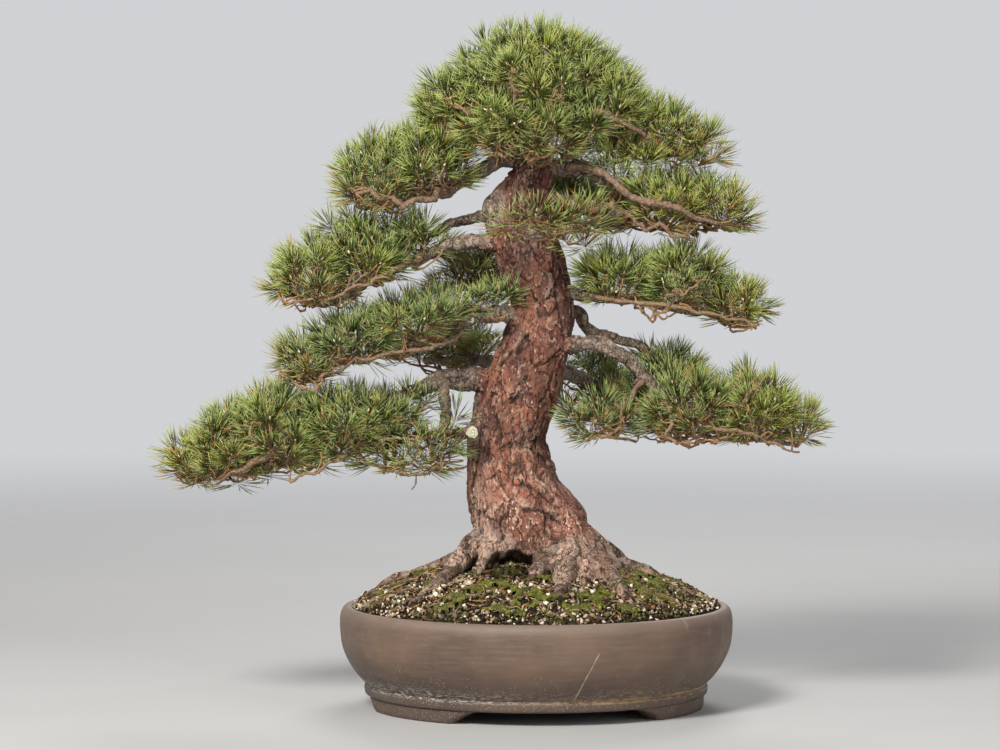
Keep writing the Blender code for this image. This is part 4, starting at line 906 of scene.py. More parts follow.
# ------------------------------------------------------------------ branches
bv, bq, bt, ba, off = [], [], [], [], 0
for i, name in enumerate(BRANCHES):
    C, R = LIMBS[name]
    sides = 16 if R[0] > 0.0065 else 12
    s = np.arange(len(C)) * 0.003
    knob = fbm(np.stack([s * 70 + i * 7, s * 0, s * 0], 1), 3, i) - 0.5
    R2 = R * (1 + 0.34 * knob)
    v, q, t = tube(C, R2, sides)
    n = len(C) * sides
    ring = v[:n].reshape(len(C), sides, 3)
    mid = ring.mean(axis=1, keepdims=True)
    nrm = np.vstack([unit(ring - mid).reshape(-1, 3), unit(v[n:n + 1] - C[1]), unit(v[n + 1:] - C[-2])])
    h2_, t2_, rim2_, seam2_ = bark_layer(v / 0.0130 + i * 3.1, 15, 0.5)
    h3_, t3_, rim3_, seam3_ = bark_layer(v / 0.0070 + i * 1.7, 75, 0.5)
    rad = np.concatenate([np.repeat(R2, sides), R2[:1], R2[-1:]])
    amp = np.clip(rad * 0.15, 0.00015, 0.0012)
    v = v + nrm * (amp * (0.9 * h2_ + 0.5 * h3_ - 0.6 * seam2_))[:, None]
    g_ = np.clip(0.95 + 0.4 * (noise(v * 30, 44) - 0.5), 0, 1)
    if name in ("left_low_stub", "left_low_twig"):
        g_[:] = 0.15 + 0.3 * t2_
    if name == "top_right_low":
        g_[:] = 0.35 + 0.3 * t2_
    # tone, pale rims with a painted highlight, dark seams with a painted shadow, and greyness
    ba.append(np.stack([np.clip(0.55 * t2_ + 0.45 * t3_ + 0.14, 0, 1), np.clip(rim2_ + rim3_, 0, 1) * 0.65, np.clip(seam2_ + 0.6 * seam3_, 0, 1) * 0.8, g_], 1))
    bv.append(v)
    bq.append(q + off)
    bt.append(t + off)
    off += len(v)
branches = piece("branch_bark", np.vstack(bv), [np.vstack(bq), np.vstack(bt)], BARK, {"bark": np.vstack(ba)})
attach(branches, "root")


def cut_face(name, centre, direction, radius, seed):
    """The sawn end of a pruned stub: a rough disc with rings, ringed by bark."""
    rings, sides = 9, 40
    d = unit(np.asarray(direction, float))
    a_ = unit(np.cross(d, (0, 0.2, 1)))
    b_ = np.cross(d, a_)
    ang = 2 * np.pi * np.arange(sides) / sides
    v, at_ = [np.asarray(centre) + d * 0.0006], [(0, 0, 0, 1)]
    for k in range(1, rings + 1):
        f = k / rings
        wob = 1 + 0.06 * np.sin(3 * ang + seed) + 0.04 * np.sin(7 * ang)
        rr = radius * f * wob
        up = 0.0006 * np.sin(f * 9 + ang * 2) - (0.0030 if k == rings else 0.0)
        v += list(np.asarray(centre) + np.outer(np.cos(ang) * rr, a_) + np.outer(np.sin(ang) * rr, b_) + np.outer(up, d))
        at_ += [(f, 0, 1.0 if k == rings else 0.0, 1)] * sides
    tri = [(0, 1 + j, 1 + (j + 1) % sides) for j in range(sides)]
    quad = [(1 + (k - 1) * sides + j, 1 + k * sides + j, 1 + k * sides + (j + 1) % sides, 1 + (k - 1) * sides + (j + 1) % sides)
            for k in range(1, rings) for j in range(sides)]
    o = piece(name, np.array(v), [np.array(tri), np.array(quad)], CUT, {"cut": np.array(at_)})
    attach(o, "root")
    return o


C, R = LIMBS["left_low_stub"]
cut_face("pruned_stub_face", C[-1] + unit(C[-1] - C[-3]) * 0.0035, unit(C[-1] - C[-3]) * 0.8 + np.array([-0.1, -0.5, 0.05]), 0.0088, 1.0)
cut_face("small_cut_face", at(471, 320, -0.0655), (-0.1, -1, 0.05), 0.0048, 2.0)

# ------------------------------------------------------------------ foliage
FLAT = 0.40
MASS = {}
for pad, masses in PADS.items():
    MASS[pad] = []
    for u, v, y, ru, ry, rv in masses:
        MASS[pad].append((at(u, v + FLAT * rv, y), ru * UNIT, ry, (1 + FLAT) * rv * UNIT, (1 - FLAT) * rv * UNIT))


# smaller clumps that tie the back pads to the rest and break their outlines
FILL = {
    "foliage_back_low_left": [(478, 346, 0.118, 30, 0.042, 17), (415, 360, 0.128, 32, 0.045, 17), (462, 336, 0.215, 30, 0.040, 17)],
    "foliage_back_low_right": [(572, 366, 0.112, 26, 0.040, 18), (622, 398, 0.125, 32, 0.045, 20), (596, 366, 0.212, 34, 0.040, 20)],
    "foliage_back_mid": [(520, 262, 0.112, 30, 0.042, 18), (455, 276, 0.118, 32, 0.045, 17), (500, 250, 0.205, 36, 0.040, 19)],
    "foliage_back_high": [(548, 190, 0.108, 34, 0.045, 20), (612, 206, 0.118, 32, 0.045, 19), (560, 178, 0.205, 38, 0.040, 20)],
}
for pad, masses in FILL.items():
    for u, v, y, ru, ry, rv in masses:
        MASS[pad].append((at(u, v + FLAT * rv, y), ru * UNIT, ry, (1 + FLAT) * rv * UNIT, (1 - FLAT) * rv * UNIT))


def inside(p, mass, inset):
    """How far inside (below 1) a point is of a mass shrunk by inset."""
    c, rx, ry, up, down = mass
    d = p - c
    rz = np.where(d[..., 2] > 0, max(0.008, up - inset), max(0.006, down - inset * 0.3))
    return np.sqrt((d[..., 0] / max(0.012, rx - inset)) ** 2 + (d[..., 1] / max(0.012, ry - inset)) ** 2 + (d[..., 2] / rz) ** 2)


NEED_L = 0.0425
# shoots placed one by one: (u, v, depth, the way each points)
EXTRA = {
    "foliage_front": [(509, 230, -0.138, -0.45, -0.60, 0.15), (521, 223, -0.142, -0.15, -0.70, 0.50), (536, 219, -0.144, 0.05, -0.65, 0.60),
                      (549, 226, -0.140, 0.10, -0.75, 0.25), (561, 225, -0.134, 0.20, -0.60, 0.50),
                      (583, 230, -0.118, 0.50, -0.50, 0.35),
                      (573, 219, -0.118, 0.15, -0.45, 0.80), (597, 224, -0.098, 0.60, -0.35, 0.35), (590, 214, -0.090, 0.20, -0.20, 0.90)],
    "foliage_left_drop": [(371, 463, -0.060, -0.75, -0.25, 0.35), (384, 457, -0.075, -0.40, -0.45, 0.60), (397, 468, -0.070, -0.10, -0.60, 0.30),
                          (412, 463, -0.085, 0.00, -0.60, 0.60), (427, 469, -0.070, 0.25, -0.55, 0.25), (441, 461, -0.062, 0.55, -0.35, 0.35),
                          (450, 451, -0.060, 0.60, -0.30, 0.50), (447, 442, -0.062, 0.20, -0.35, 0.85), (430, 448, -0.080, 0.05, -0.45, 0.85),
                          (413, 443, -0.075, -0.05, -0.35, 0.90), (396, 443, -0.070, -0.15, -0.30, 0.90), (379, 446, -0.055, -0.45, -0.20, 0.80),
                          (404, 455, -0.040, -0.10, 0.30, 0.70), (432, 458, -0.035, 0.20, 0.30, 0.60), (455, 421, -0.050, 0.15, -0.35, 0.95)],
    "foliage_left_mid": [(498, 302, -0.055, 0.15, -0.30, 0.90), (486, 306, -0.062, -0.20, -0.25, 0.90), (509, 299, -0.052, 0.35, -0.30, 0.80),
                         (474, 309, -0.065, -0.10, -0.30, 0.90), (492, 311, -0.040, 0.0, 0.20, 0.90)],
    "foliage_top_right": [(598, 160, -0.030, -0.10, -0.35, 0.85), (614, 166, -0.045, 0.00, -0.50, 0.75), (631, 163, -0.030, 0.10, -0.35, 0.85),
                          (646, 167, -0.050, 0.10, -0.45, 0.75), (606, 176, -0.050, -0.20, -0.60, 0.50), (580, 158, -0.025, -0.20, -0.35, 0.85),
                          (566, 244, -0.045, -0.10, -0.50, 0.50), (584, 247, -0.050, 0.10, -0.50, 0.40), (622, 186, -0.060, 0.0, -0.55, 0.75)],
    "foliage_crown_right": [(652, 163, -0.035, 0.10, -0.55, 0.60), (672, 168, -0.040, 0.30, -0.50, 0.60), (694, 168, -0.030, 0.45, -0.40, 0.60),
                            (712, 160, -0.020, 0.70, -0.30, 0.50), (634, 158, -0.040, -0.10, -0.55, 0.60), (684, 160, -0.010, 0.3, -0.3, 0.8)],
    "foliage_left_high": [(352, 222, -0.030, -0.20, -0.40, 0.85), (376, 216, -0.030, 0.0, -0.45, 0.85), (398, 214, -0.030, 0.10, -0.40, 0.85),
                          (334, 232, -0.025, -0.50, -0.30, 0.75), (300, 299, -0.045, -0.40, -0.50, 0.45), (322, 302, -0.050, 0.0, -0.60, 0.45),
                          (283, 292, -0.030, -0.75, -0.30, 0.30)],
    "foliage_right_high": [(758, 310, -0.030, 0.80, -0.30, 0.25), (742, 318, -0.045, 0.50, -0.50, 0.35)],
    "foliage_apex": [(517, 128, -0.128, -0.10, -0.85, 0.35), (495, 116, -0.120, -0.30, -0.80, 0.45), (552, 128, -0.124, 0.25, -0.85, 0.35),
                     (512, 72, -0.105, -0.05, -0.70, 0.70), (476, 132, -0.095, -0.45, -0.65, 0.35), (592, 130, -0.090, 0.40, -0.65, 0.40),
                     (535, 146, -0.115, 0.05, -0.80, 0.15), (560, 148, -0.100, 0.25, -0.75, 0.15), (500, 146, -0.098, -0.25, -0.75, 0.15)],
    "foliage_top_left": [(455, 158, -0.030, 0.05, -0.35, 0.85), (470, 152, -0.035, 0.10, -0.40, 0.80), (441, 168, -0.045, 0.0, -0.50, 0.70)],
    "foliage_left_low": [(208, 479, -0.040, -0.30, -0.50, 0.60), (238, 482, -0.045, 0.00, -0.55, 0.60), (268, 474, -0.050, 0.10, -0.55, 0.60),
                         (318, 465, -0.050, 0.10, -0.55, 0.60), (345, 462, -0.045, 0.30, -0.45, 0.60), (186, 470, -0.030, -0.60, -0.30, 0.50),
                         (292, 468, -0.030, 0.0, -0.45, 0.70), (410, 398, -0.055, 0.1, -0.45, 0.80), (425, 405, -0.060, 0.2, -0.45, 0.70)],
    "foliage_right_low": [(578, 425, -0.105, -0.55, -0.35, 0.45), (600, 432, -0.115, -0.10, -0.60, 0.45), (622, 428, -0.110, 0.15, -0.60, 0.50)],
}
PATCHY = {"foliage_front": 0.0, "foliage_left_drop": 0.0}
# gaps of the front view that stay open: (u, v, half width, half height)
GAPS = [(428, 270, 34, 13), (410, 367, 58, 15), (574, 380, 17, 20), (640, 238, 34, 9), (706, 247, 24, 8), (655, 325, 66, 14),
        (470, 195, 36, 14), (460, 405, 12, 14), (318, 318, 18, 5)]


# limbs seen at the front of the pads: (u, v, depth, radius), how young, then the points
SHOWN = {
    "foliage_left_low": [(0.10, [(290, 448, -0.045, 4.6), (282, 450, -0.090, 4.4), (268, 455, -0.108, 4.6), (254, 463, -0.112, 4.2), (241, 471, -0.108, 3.4), (226, 478, -0.100, 2.4), (208, 484, -0.090, 1.6)]),
                         (0.45, [(352, 440, -0.060, 2.6), (344, 456, -0.095, 2.4), (331, 462, -0.102, 2.3), (318, 469, -0.102, 2.2), (303, 474, -0.100, 2.0), (290, 481, -0.096, 1.8), (288, 474, -0.094, 1.5), (294, 466, -0.092, 1.2)]),
                         (0.35, [(262, 459, -0.050, 2.8), (254, 445, -0.110, 2.4), (250, 432, -0.124, 2.2), (253, 420, -0.122, 1.6)])],
    "foliage_left_drop": [(0.35, [(440, 433, -0.060, 2.8), (425, 437, -0.085, 2.6), (404, 438, -0.092, 2.4), (388, 441, -0.092, 2.0), (374, 447, -0.085, 1.6)]),
                          (0.45, [(445, 440, -0.062, 2.4), (442, 460, -0.082, 2.2), (428, 470, -0.090, 2.1), (410, 475, -0.092, 2.0), (393, 474, -0.090, 1.7), (378, 466, -0.086, 1.3)])],
    "foliage_left_mid": [(0.20, [(460, 323, -0.060, 3.8), (445, 344, -0.100, 3.6), (420, 349, -0.108, 3.4), (398, 351, -0.110, 3.0), (372, 357, -0.106, 2.7), (350, 363, -0.100, 2.2), (330, 371, -0.094, 1.6)]),
                         (0.45, [(335, 364, -0.050, 2.4), (322, 381, -0.086, 2.2), (309, 388, -0.090, 1.8), (297, 385, -0.084, 1.4)])],
    "foliage_left_high": [(0.25, [(411, 261, -0.060, 3.4), (398, 268, -0.095, 3.2), (378, 276, -0.104, 3.0), (357, 286, -0.106, 2.6), (338, 296, -0.102, 2.0), (320, 301, -0.096, 1.5)]),
                          (0.45, [(310, 303, -0.050, 2.0), (300, 300, -0.090, 2.0), (288, 303, -0.092, 1.6), (277, 299, -0.086, 1.3)])],
    "foliage_top_left": [(0.10, [(446, 190, -0.030, 4.4), (430, 197, -0.080, 4.2), (402, 201, -0.096, 3.8), (376, 195, -0.100, 3.0), (352, 186, -0.096, 2.2)]),
                         (0.45, [(402, 201, -0.080, 2.0), (388, 206, -0.094, 1.9), (372, 208, -0.094, 1.6), (360, 203, -0.088, 1.2)])],
    "foliage_apex": [(0.05, [(590, 116, -0.020, 4.4), (596, 112, -0.070, 4.2), (606, 117, -0.086, 4.0), (620, 123, -0.090, 3.6), (636, 132, -0.086, 3.0), (652, 144, -0.078, 2.2)]),
                     (0.20, [(528, 120, -0.040, 3.4), (518, 104, -0.092, 3.0), (512, 88, -0.104, 2.6), (514, 70, -0.100, 2.0), (506, 58, -0.092, 1.4)]),
                     (0.30, [(480, 116, -0.030, 3.2), (470, 112, -0.088, 2.8), (456, 106, -0.096, 2.4), (443, 98, -0.092, 1.8)]),
                     (0.20, [(540, 130, -0.050, 3.0), (552, 118, -0.104, 2.6), (551, 102, -0.112, 2.2), (556, 88, -0.108, 1.5)])],
    "foliage_top_right": [(0.05, [(566, 168, -0.040, 5.6), (588, 168, -0.066, 5.6), (604, 174, -0.086, 5.4), (622, 190, -0.104, 5.0), (647, 200, -0.112, 4.6), (677, 208, -0.112, 4.0), (700, 218, -0.104, 3.0), (722, 226, -0.094, 2.0)]),
                          (0.35, [(620, 214, -0.060, 4.0), (647, 224, -0.096, 3.4), (676, 233, -0.102, 2.6), (697, 240, -0.096, 1.8)])],
    "foliage_right_high": [(0.30, [(590, 296, -0.060, 3.2), (606, 300, -0.096, 3.2), (635, 302, -0.106, 3.0), (660, 306, -0.110, 3.0), (688, 309, -0.110, 2.8), (710, 315, -0.104, 2.6), (733, 322, -0.096, 2.2), (756, 329, -0.086, 1.6)]),
                           (0.50, [(635, 302, -0.090, 2.2), (640, 313, -0.104, 2.0), (652, 318, -0.106, 1.8), (670, 315, -0.102, 1.4)]),
                           (0.45, [(660, 306, -0.100, 2.2), (672, 296, -0.120, 2.0), (690, 290, -0.124, 1.7), (704, 281, -0.120, 1.3)])],
    "foliage_right_low": [(0.25, [(690, 408, -0.060, 3.8), (712, 426, -0.110, 3.4), (736, 430, -0.116, 3.2), (750, 435, -0.114, 2.9), (766, 440, -0.106, 2.5), (782, 446, -0.098, 2.0), (798, 449, -0.088, 1.5)]),
                          (0.45, [(736, 430, -0.100, 2.2), (724, 437, -0.112, 2.0), (710, 442, -0.112, 1.4)]),
                          (0.40, [(662, 392, -0.060, 3.0), (672, 420, -0.112, 2.6), (668, 436, -0.116, 2.2), (680, 440, -0.114, 1.9), (694, 444, -0.108, 1.4)]),
                          (0.40, [(616, 400, -0.080, 3.0), (622, 418, -0.130, 2.6), (616, 431, -0.134, 2.4), (600, 438, -0.130, 2.0), (582, 439, -0.122, 1.5)]),
                          (0.30, [(725, 420, -0.060, 2.8), (742, 402, -0.118, 2.4), (752, 390, -0.124, 2.0), (764, 384, -0.120, 1.4)])],
}


def in_gap(p):
    u, v = drawn(p)
    hit = np.zeros(u.shape, bool)
    for gu, gv, ru, rv in GAPS:
        hit |= ((u - gu) / ru) ** 2 + ((v - gv) / rv) ** 2 < 1
    return hit


def covers(pad, p):
    """Whether points stand in front of one of the pad's shown limbs."""
    hit = np.zeros(len(p), bool)
    if pad not in SHOWN:
        return hit
    u, v = drawn(p)
    for _, pts in SHOWN[pad]:
        a = np.array(pts)
        t = np.linspace(0, len(a) - 1, 8 * len(a))
        line = np.stack([np.interp(t, np.arange(len(a)), a[:, k]) for k in range(4)], 1)
        near = np.hypot(u[:, None] - line[:, 0], (v[:, None] - line[:, 1]) * 1.15) < line[:, 3] * 0.7 + 5.0
        hit |= (near & (p[:, 1][:, None] < line[:, 2] + 0.012)).any(1)
    return hit


def tufts_of(pad, rng):
    """Shoot ends over a pad's dome and rim, with the way each points: (points, axes, depth)."""
    P, A, D = [], [], []
    for u, v, y, *way in EXTRA.get(pad, []):
        P.append(at(u, v, y))
        A.append(unit(np.array(way)))
        D.append(0)
    if pad in PATCHY:
        return np.array(P), np.array(A), np.array(D)
    for layer, (inset, gap) in enumerate(((0.0352, 0.0230), (0.056, 0.025))):
        for k, mass in enumerate(MASS[pad]):
            c, rx, ry, up, down = mass
            n = 2400 if layer == 0 else 700
            z = rng.uniform(-0.62, 1.0, n)
            a = rng.uniform(0, 2 * np.pi, n)
            s = np.sqrt(1 - z ** 2)
            d = np.stack([s * np.cos(a), s * np.sin(a), z], 1)
            ix, iy, iu = min(inset, 0.60 * rx), min(inset, 0.60 * ry), min(inset * 0.98, 0.66 * up)
            # uneven outline: whole shoots stand out or stay back
            grow = 1 + 0.30 * (fbm((c + d * 0.08) * 26, 2, 300 + k)[:, None] - 0.5) + rng.uniform(-0.05, 0.04, (n, 1))
            p = c + d * grow * np.stack([np.full(n, rx - ix), np.full(n, ry - iy), np.where(z > 0, up - iu, down * 0.66)], 1)
            p = p + rng.normal(0, 0.0030, p.shape)
            other = np.full(n, 9.0)
            for kk, mm in enumerate(MASS[pad]):
                if kk != k:
                    other = np.minimum(other, inside(p, mm, inset))
            nrm = unit(d / (rx, ry, up))
            lift = np.where(z < 0.25, 0.85, 0.62)[:, None] * np.array([0, 0, 1.0])
            way = unit(nrm * np.where(z < 0, 0.62, 0.80)[:, None] + lift + rng.normal(0, 0.22, (n, 3)))
            ok = (other > 0.94) & ~in_gap(p + way * 0.012) & ~in_gap(p + way * 0.034) & ~(covers(pad, p + way * 0.012) & (rng.random(n) < 0.985))
            if pad.startswith("foliage_back"):
                ok &= fbm(p * 17, 2, 700 + k) < 0.60
            for q, w, zz in zip(p[ok], way[ok], z[ok]):
                if len(P):
                    near = np.min(np.sum((np.array(P) - q) ** 2, 1))
                    g2 = gap * (1.10 if zz < 0 else 1.0)
                    if near < g2 * g2:
                        continue
                P.append(q)
                A.append(w)
                D.append(layer)
    return np.array(P), np.array(A), np.array(D)


# how yellow and bright each pad's green is, and how that shifts towards its right: partly the needles' own tone, partly
# painted light on lit pads and painted shade on shaded ones
WARMTH = {"needles_left_low": (-0.16, -0.35), "needles_left_mid": (-0.20, 0.0), "needles_left_high": (-0.08, 0.0), "needles_left_drop": (-0.26, 0.0),
          "needles_right_low": (-0.12, 0.60), "needles_right_high": (0.16, 0.0), "needles_crown_right": (0.12, 0.0),
          "needles_top_right": (0.10, 0.15), "needles_front": (-0.20, 0.0), "needles_apex": (0.02, 0.15)}


def needles_mesh(name, P, A, D, rng, low_z):
    """Every tuft's needles, in pairs, as slim closed spindles."""
    n = len(P)
    sparse = "front" in name or "drop" in name
    per = np.where(D == 0, (40 if "front" in name else 58) if sparse else 64, 32)
    idx = np.repeat(np.arange(n), per // 2)
    m = len(idx)
    ax = A[idx]
    ref = unit(np.cross(ax, unit(rng.normal(size=(m, 3)))))
    oth = np.cross(ax, ref)
    phi = rng.uniform(0, 2 * np.pi, m)
    s = rng.random(m) ** 0.9          # 1 at the shoot's tip, 0 low on it
    wide = rng.uniform(0.85, 1.20, n)[idx]
    open_ = np.radians(np.clip((16 + 68 * (1 - s)) * wide + rng.normal(0, 10, m), 3, 108))
    size = rng.uniform(0.80, 1.12, n)[idx]
    start = P[idx] + ax * (-0.006 + 0.014 * s)[:, None]
    out = []
    for twin in (0, 1):
        a2 = open_ + np.radians(rng.uniform(-5, 5, m))
        ph = phi + np.radians(rng.uniform(5, 13, m)) * (1 if twin else -1)
        side = np.cos(ph)[:, None] * ref + np.sin(ph)[:, None] * oth
        d = unit(np.cos(a2)[:, None] * ax + np.sin(a2)[:, None] * side)
        d[:, 2] = np.where(d[:, 2] < -0.10, -0.10 + (d[:, 2] + 0.10) * 0.30, d[:, 2])
        d = unit(d)
        L = NEED_L * size * rng.uniform(0.80, 1.10, m) * np.where(D[idx] == 0, 1.0, 0.86) * (1.14 if "front" in name else 1.0)
        out.append((d, L))
    d = np.vstack([o[0] for o in out])
    L = np.concatenate([o[1] for o in out])
    start = np.vstack([start, start]) + rng.normal(0, 0.0004, (2 * m, 3))
    idx = np.concatenate([idx, idx])
    w = rng.uniform(0.00056, 0.00078, 2 * m)
    bend = unit(np.cross(d, rng.normal(size=(2 * m, 3)))) * (L * rng.uniform(0.0, 0.040, 2 * m))[:, None]
    bend[:, 2] -= L * 0.010
    mid = start + d * (L * 0.64)[:, None] + bend
    tip = start + d * L[:, None]
    e1 = unit(np.cross(d, (0.21, 0.35, 0.91)))
    e2 = np.cross(d, e1)
    verts = np.empty((2 * m, 5, 3))
    verts[:, 0] = start
    for k in range(3):
        a = 2 * np.pi * k / 3
        verts[:, 1 + k] = mid + (e1 * math.cos(a) + e2 * math.sin(a)) * w[:, None]
    verts[:, 4] = tip
    base = (np.arange(2 * m) * 5)[:, None, None]
    tri = np.array([(0, 2, 1), (0, 3, 2), (0, 1, 3), (4, 1, 2), (4, 2, 3), (4, 3, 1)])[None]
    faces = (base + tri).reshape(-1, 3)
    # warmth sets each tuft's green: partly its own tone, partly painted light and shade per pad
    warm, to_side = WARMTH.get(name, (0.0, 0.0))
    tuft_r = 0.50 * rng.random(n) + 0.42 * smooth(0.36, 0.64, fbm(P * 15, 2, 77)) + 0.04 + warm
    tuft_r = np.clip(tuft_r + to_side * (P[:, 0] - P[:, 0].mean()) / np.ptp(P[:, 0]), 0, 1)[idx]
    # inner-layer needles much darker: painted shade inside the pads
    each = np.clip(rng.normal(0.57, 0.31, 2 * m) + 0.30 * (tuft_r - 0.5) + (0.06 if "right_high" in name else 0.0) + np.where(D[idx] == 0, 0.06, -0.46), 0, 1)
    dead = 0.03 if "apex" in name or "front" in name else 0.085 if "low" in name or "mid" in name else 0.06
    brown_p = np.where(D[idx] == 0, dead, 0.34) + 0.30 * smooth(low_z + 0.060, low_z + 0.010, start[:, 2])
    brown = (rng.random(2 * m) < brown_p) * rng.uniform(0.6, 1.0, 2 * m)
    attr = np.empty((2 * m, 5, 4))
    attr[:, :, 0] = tuft_r[:, None]
    attr[:, :, 1] = each[:, None]
    attr[:, :, 2] = np.array([0, 0.6, 0.6, 0.6, 1.0])[None]
    attr[:, :, 3] = brown[:, None]
    o = piece(name, verts.reshape(-1, 3), [faces], NEEDLE, {"needle": attr.reshape(-1, 4)})
    return o, len(faces)


def bezier(a, b, c, d, m):
    t = np.linspace(0, 1, m)[None, :, None]
    a, b, c, d = (x[:, None] for x in (a, b, c, d))
    return (1 - t) ** 3 * a + 3 * (1 - t) ** 2 * t * b + 3 * (1 - t) * t ** 2 * c + t ** 3 * d


def cluster(P, k, rng):
    c = P[rng.choice(len(P), k, replace=False)]
    for _ in range(6):
        lab = np.argmin(((P[:, None] - c[None]) ** 2).sum(-1), 1)
        for j in range(k):
            if (lab == j).any():
                c[j] = P[lab == j].mean(0)
    return c, lab


def closest(points, target, lean):
    """Of points, the index nearest target, preferring those nearer the limb's start."""
    d = np.linalg.norm(points - target, axis=1) + lean * np.arange(len(points)) / len(points)
    return int(np.argmin(d))


def floor_of(pad, p):
    """Height of the pad's underside at a point's place."""
    low = None
    for c, rx, ry, up, down in MASS[pad]:
        k = ((p[0] - c[0]) / rx) ** 2 + ((p[1] - c[1]) / ry) ** 2
        if k < 1:
            z = c[2] - down * math.sqrt(1 - k)
            low = z if low is None else min(low, z)
    return p[2] - 0.030 if low is None else low


def bud_mesh(P, A, rng):
    """Slim pale buds at the shoots' ends."""
    n = len(P)
    e1 = unit(np.cross(A, (0.31, 0.2, 0.93)))
    e2 = np.cross(A, e1)
    w = rng.uniform(0.0010, 0.0018, (n, 1))
    L = rng.uniform(0.005, 0.009, (n, 1))
    c = P + A * 0.010
    v = np.stack([c - A * 0.002, c + A * L * 0.4 + e1 * w, c + A * L * 0.4 + e2 * w, c + A * L * 0.4 - e1 * w, c + A * L * 0.4 - e2 * w, c + A * L], 1)
    tri = np.array([(0, 2, 1), (0, 3, 2), (0, 4, 3), (0, 1, 4), (5, 1, 2), (5, 2, 3), (5, 3, 4), (5, 4, 1)])
    return v.reshape(-1, 3), ((np.arange(n) * 6)[:, None, None] + tri[None]).reshape(-1, 3)


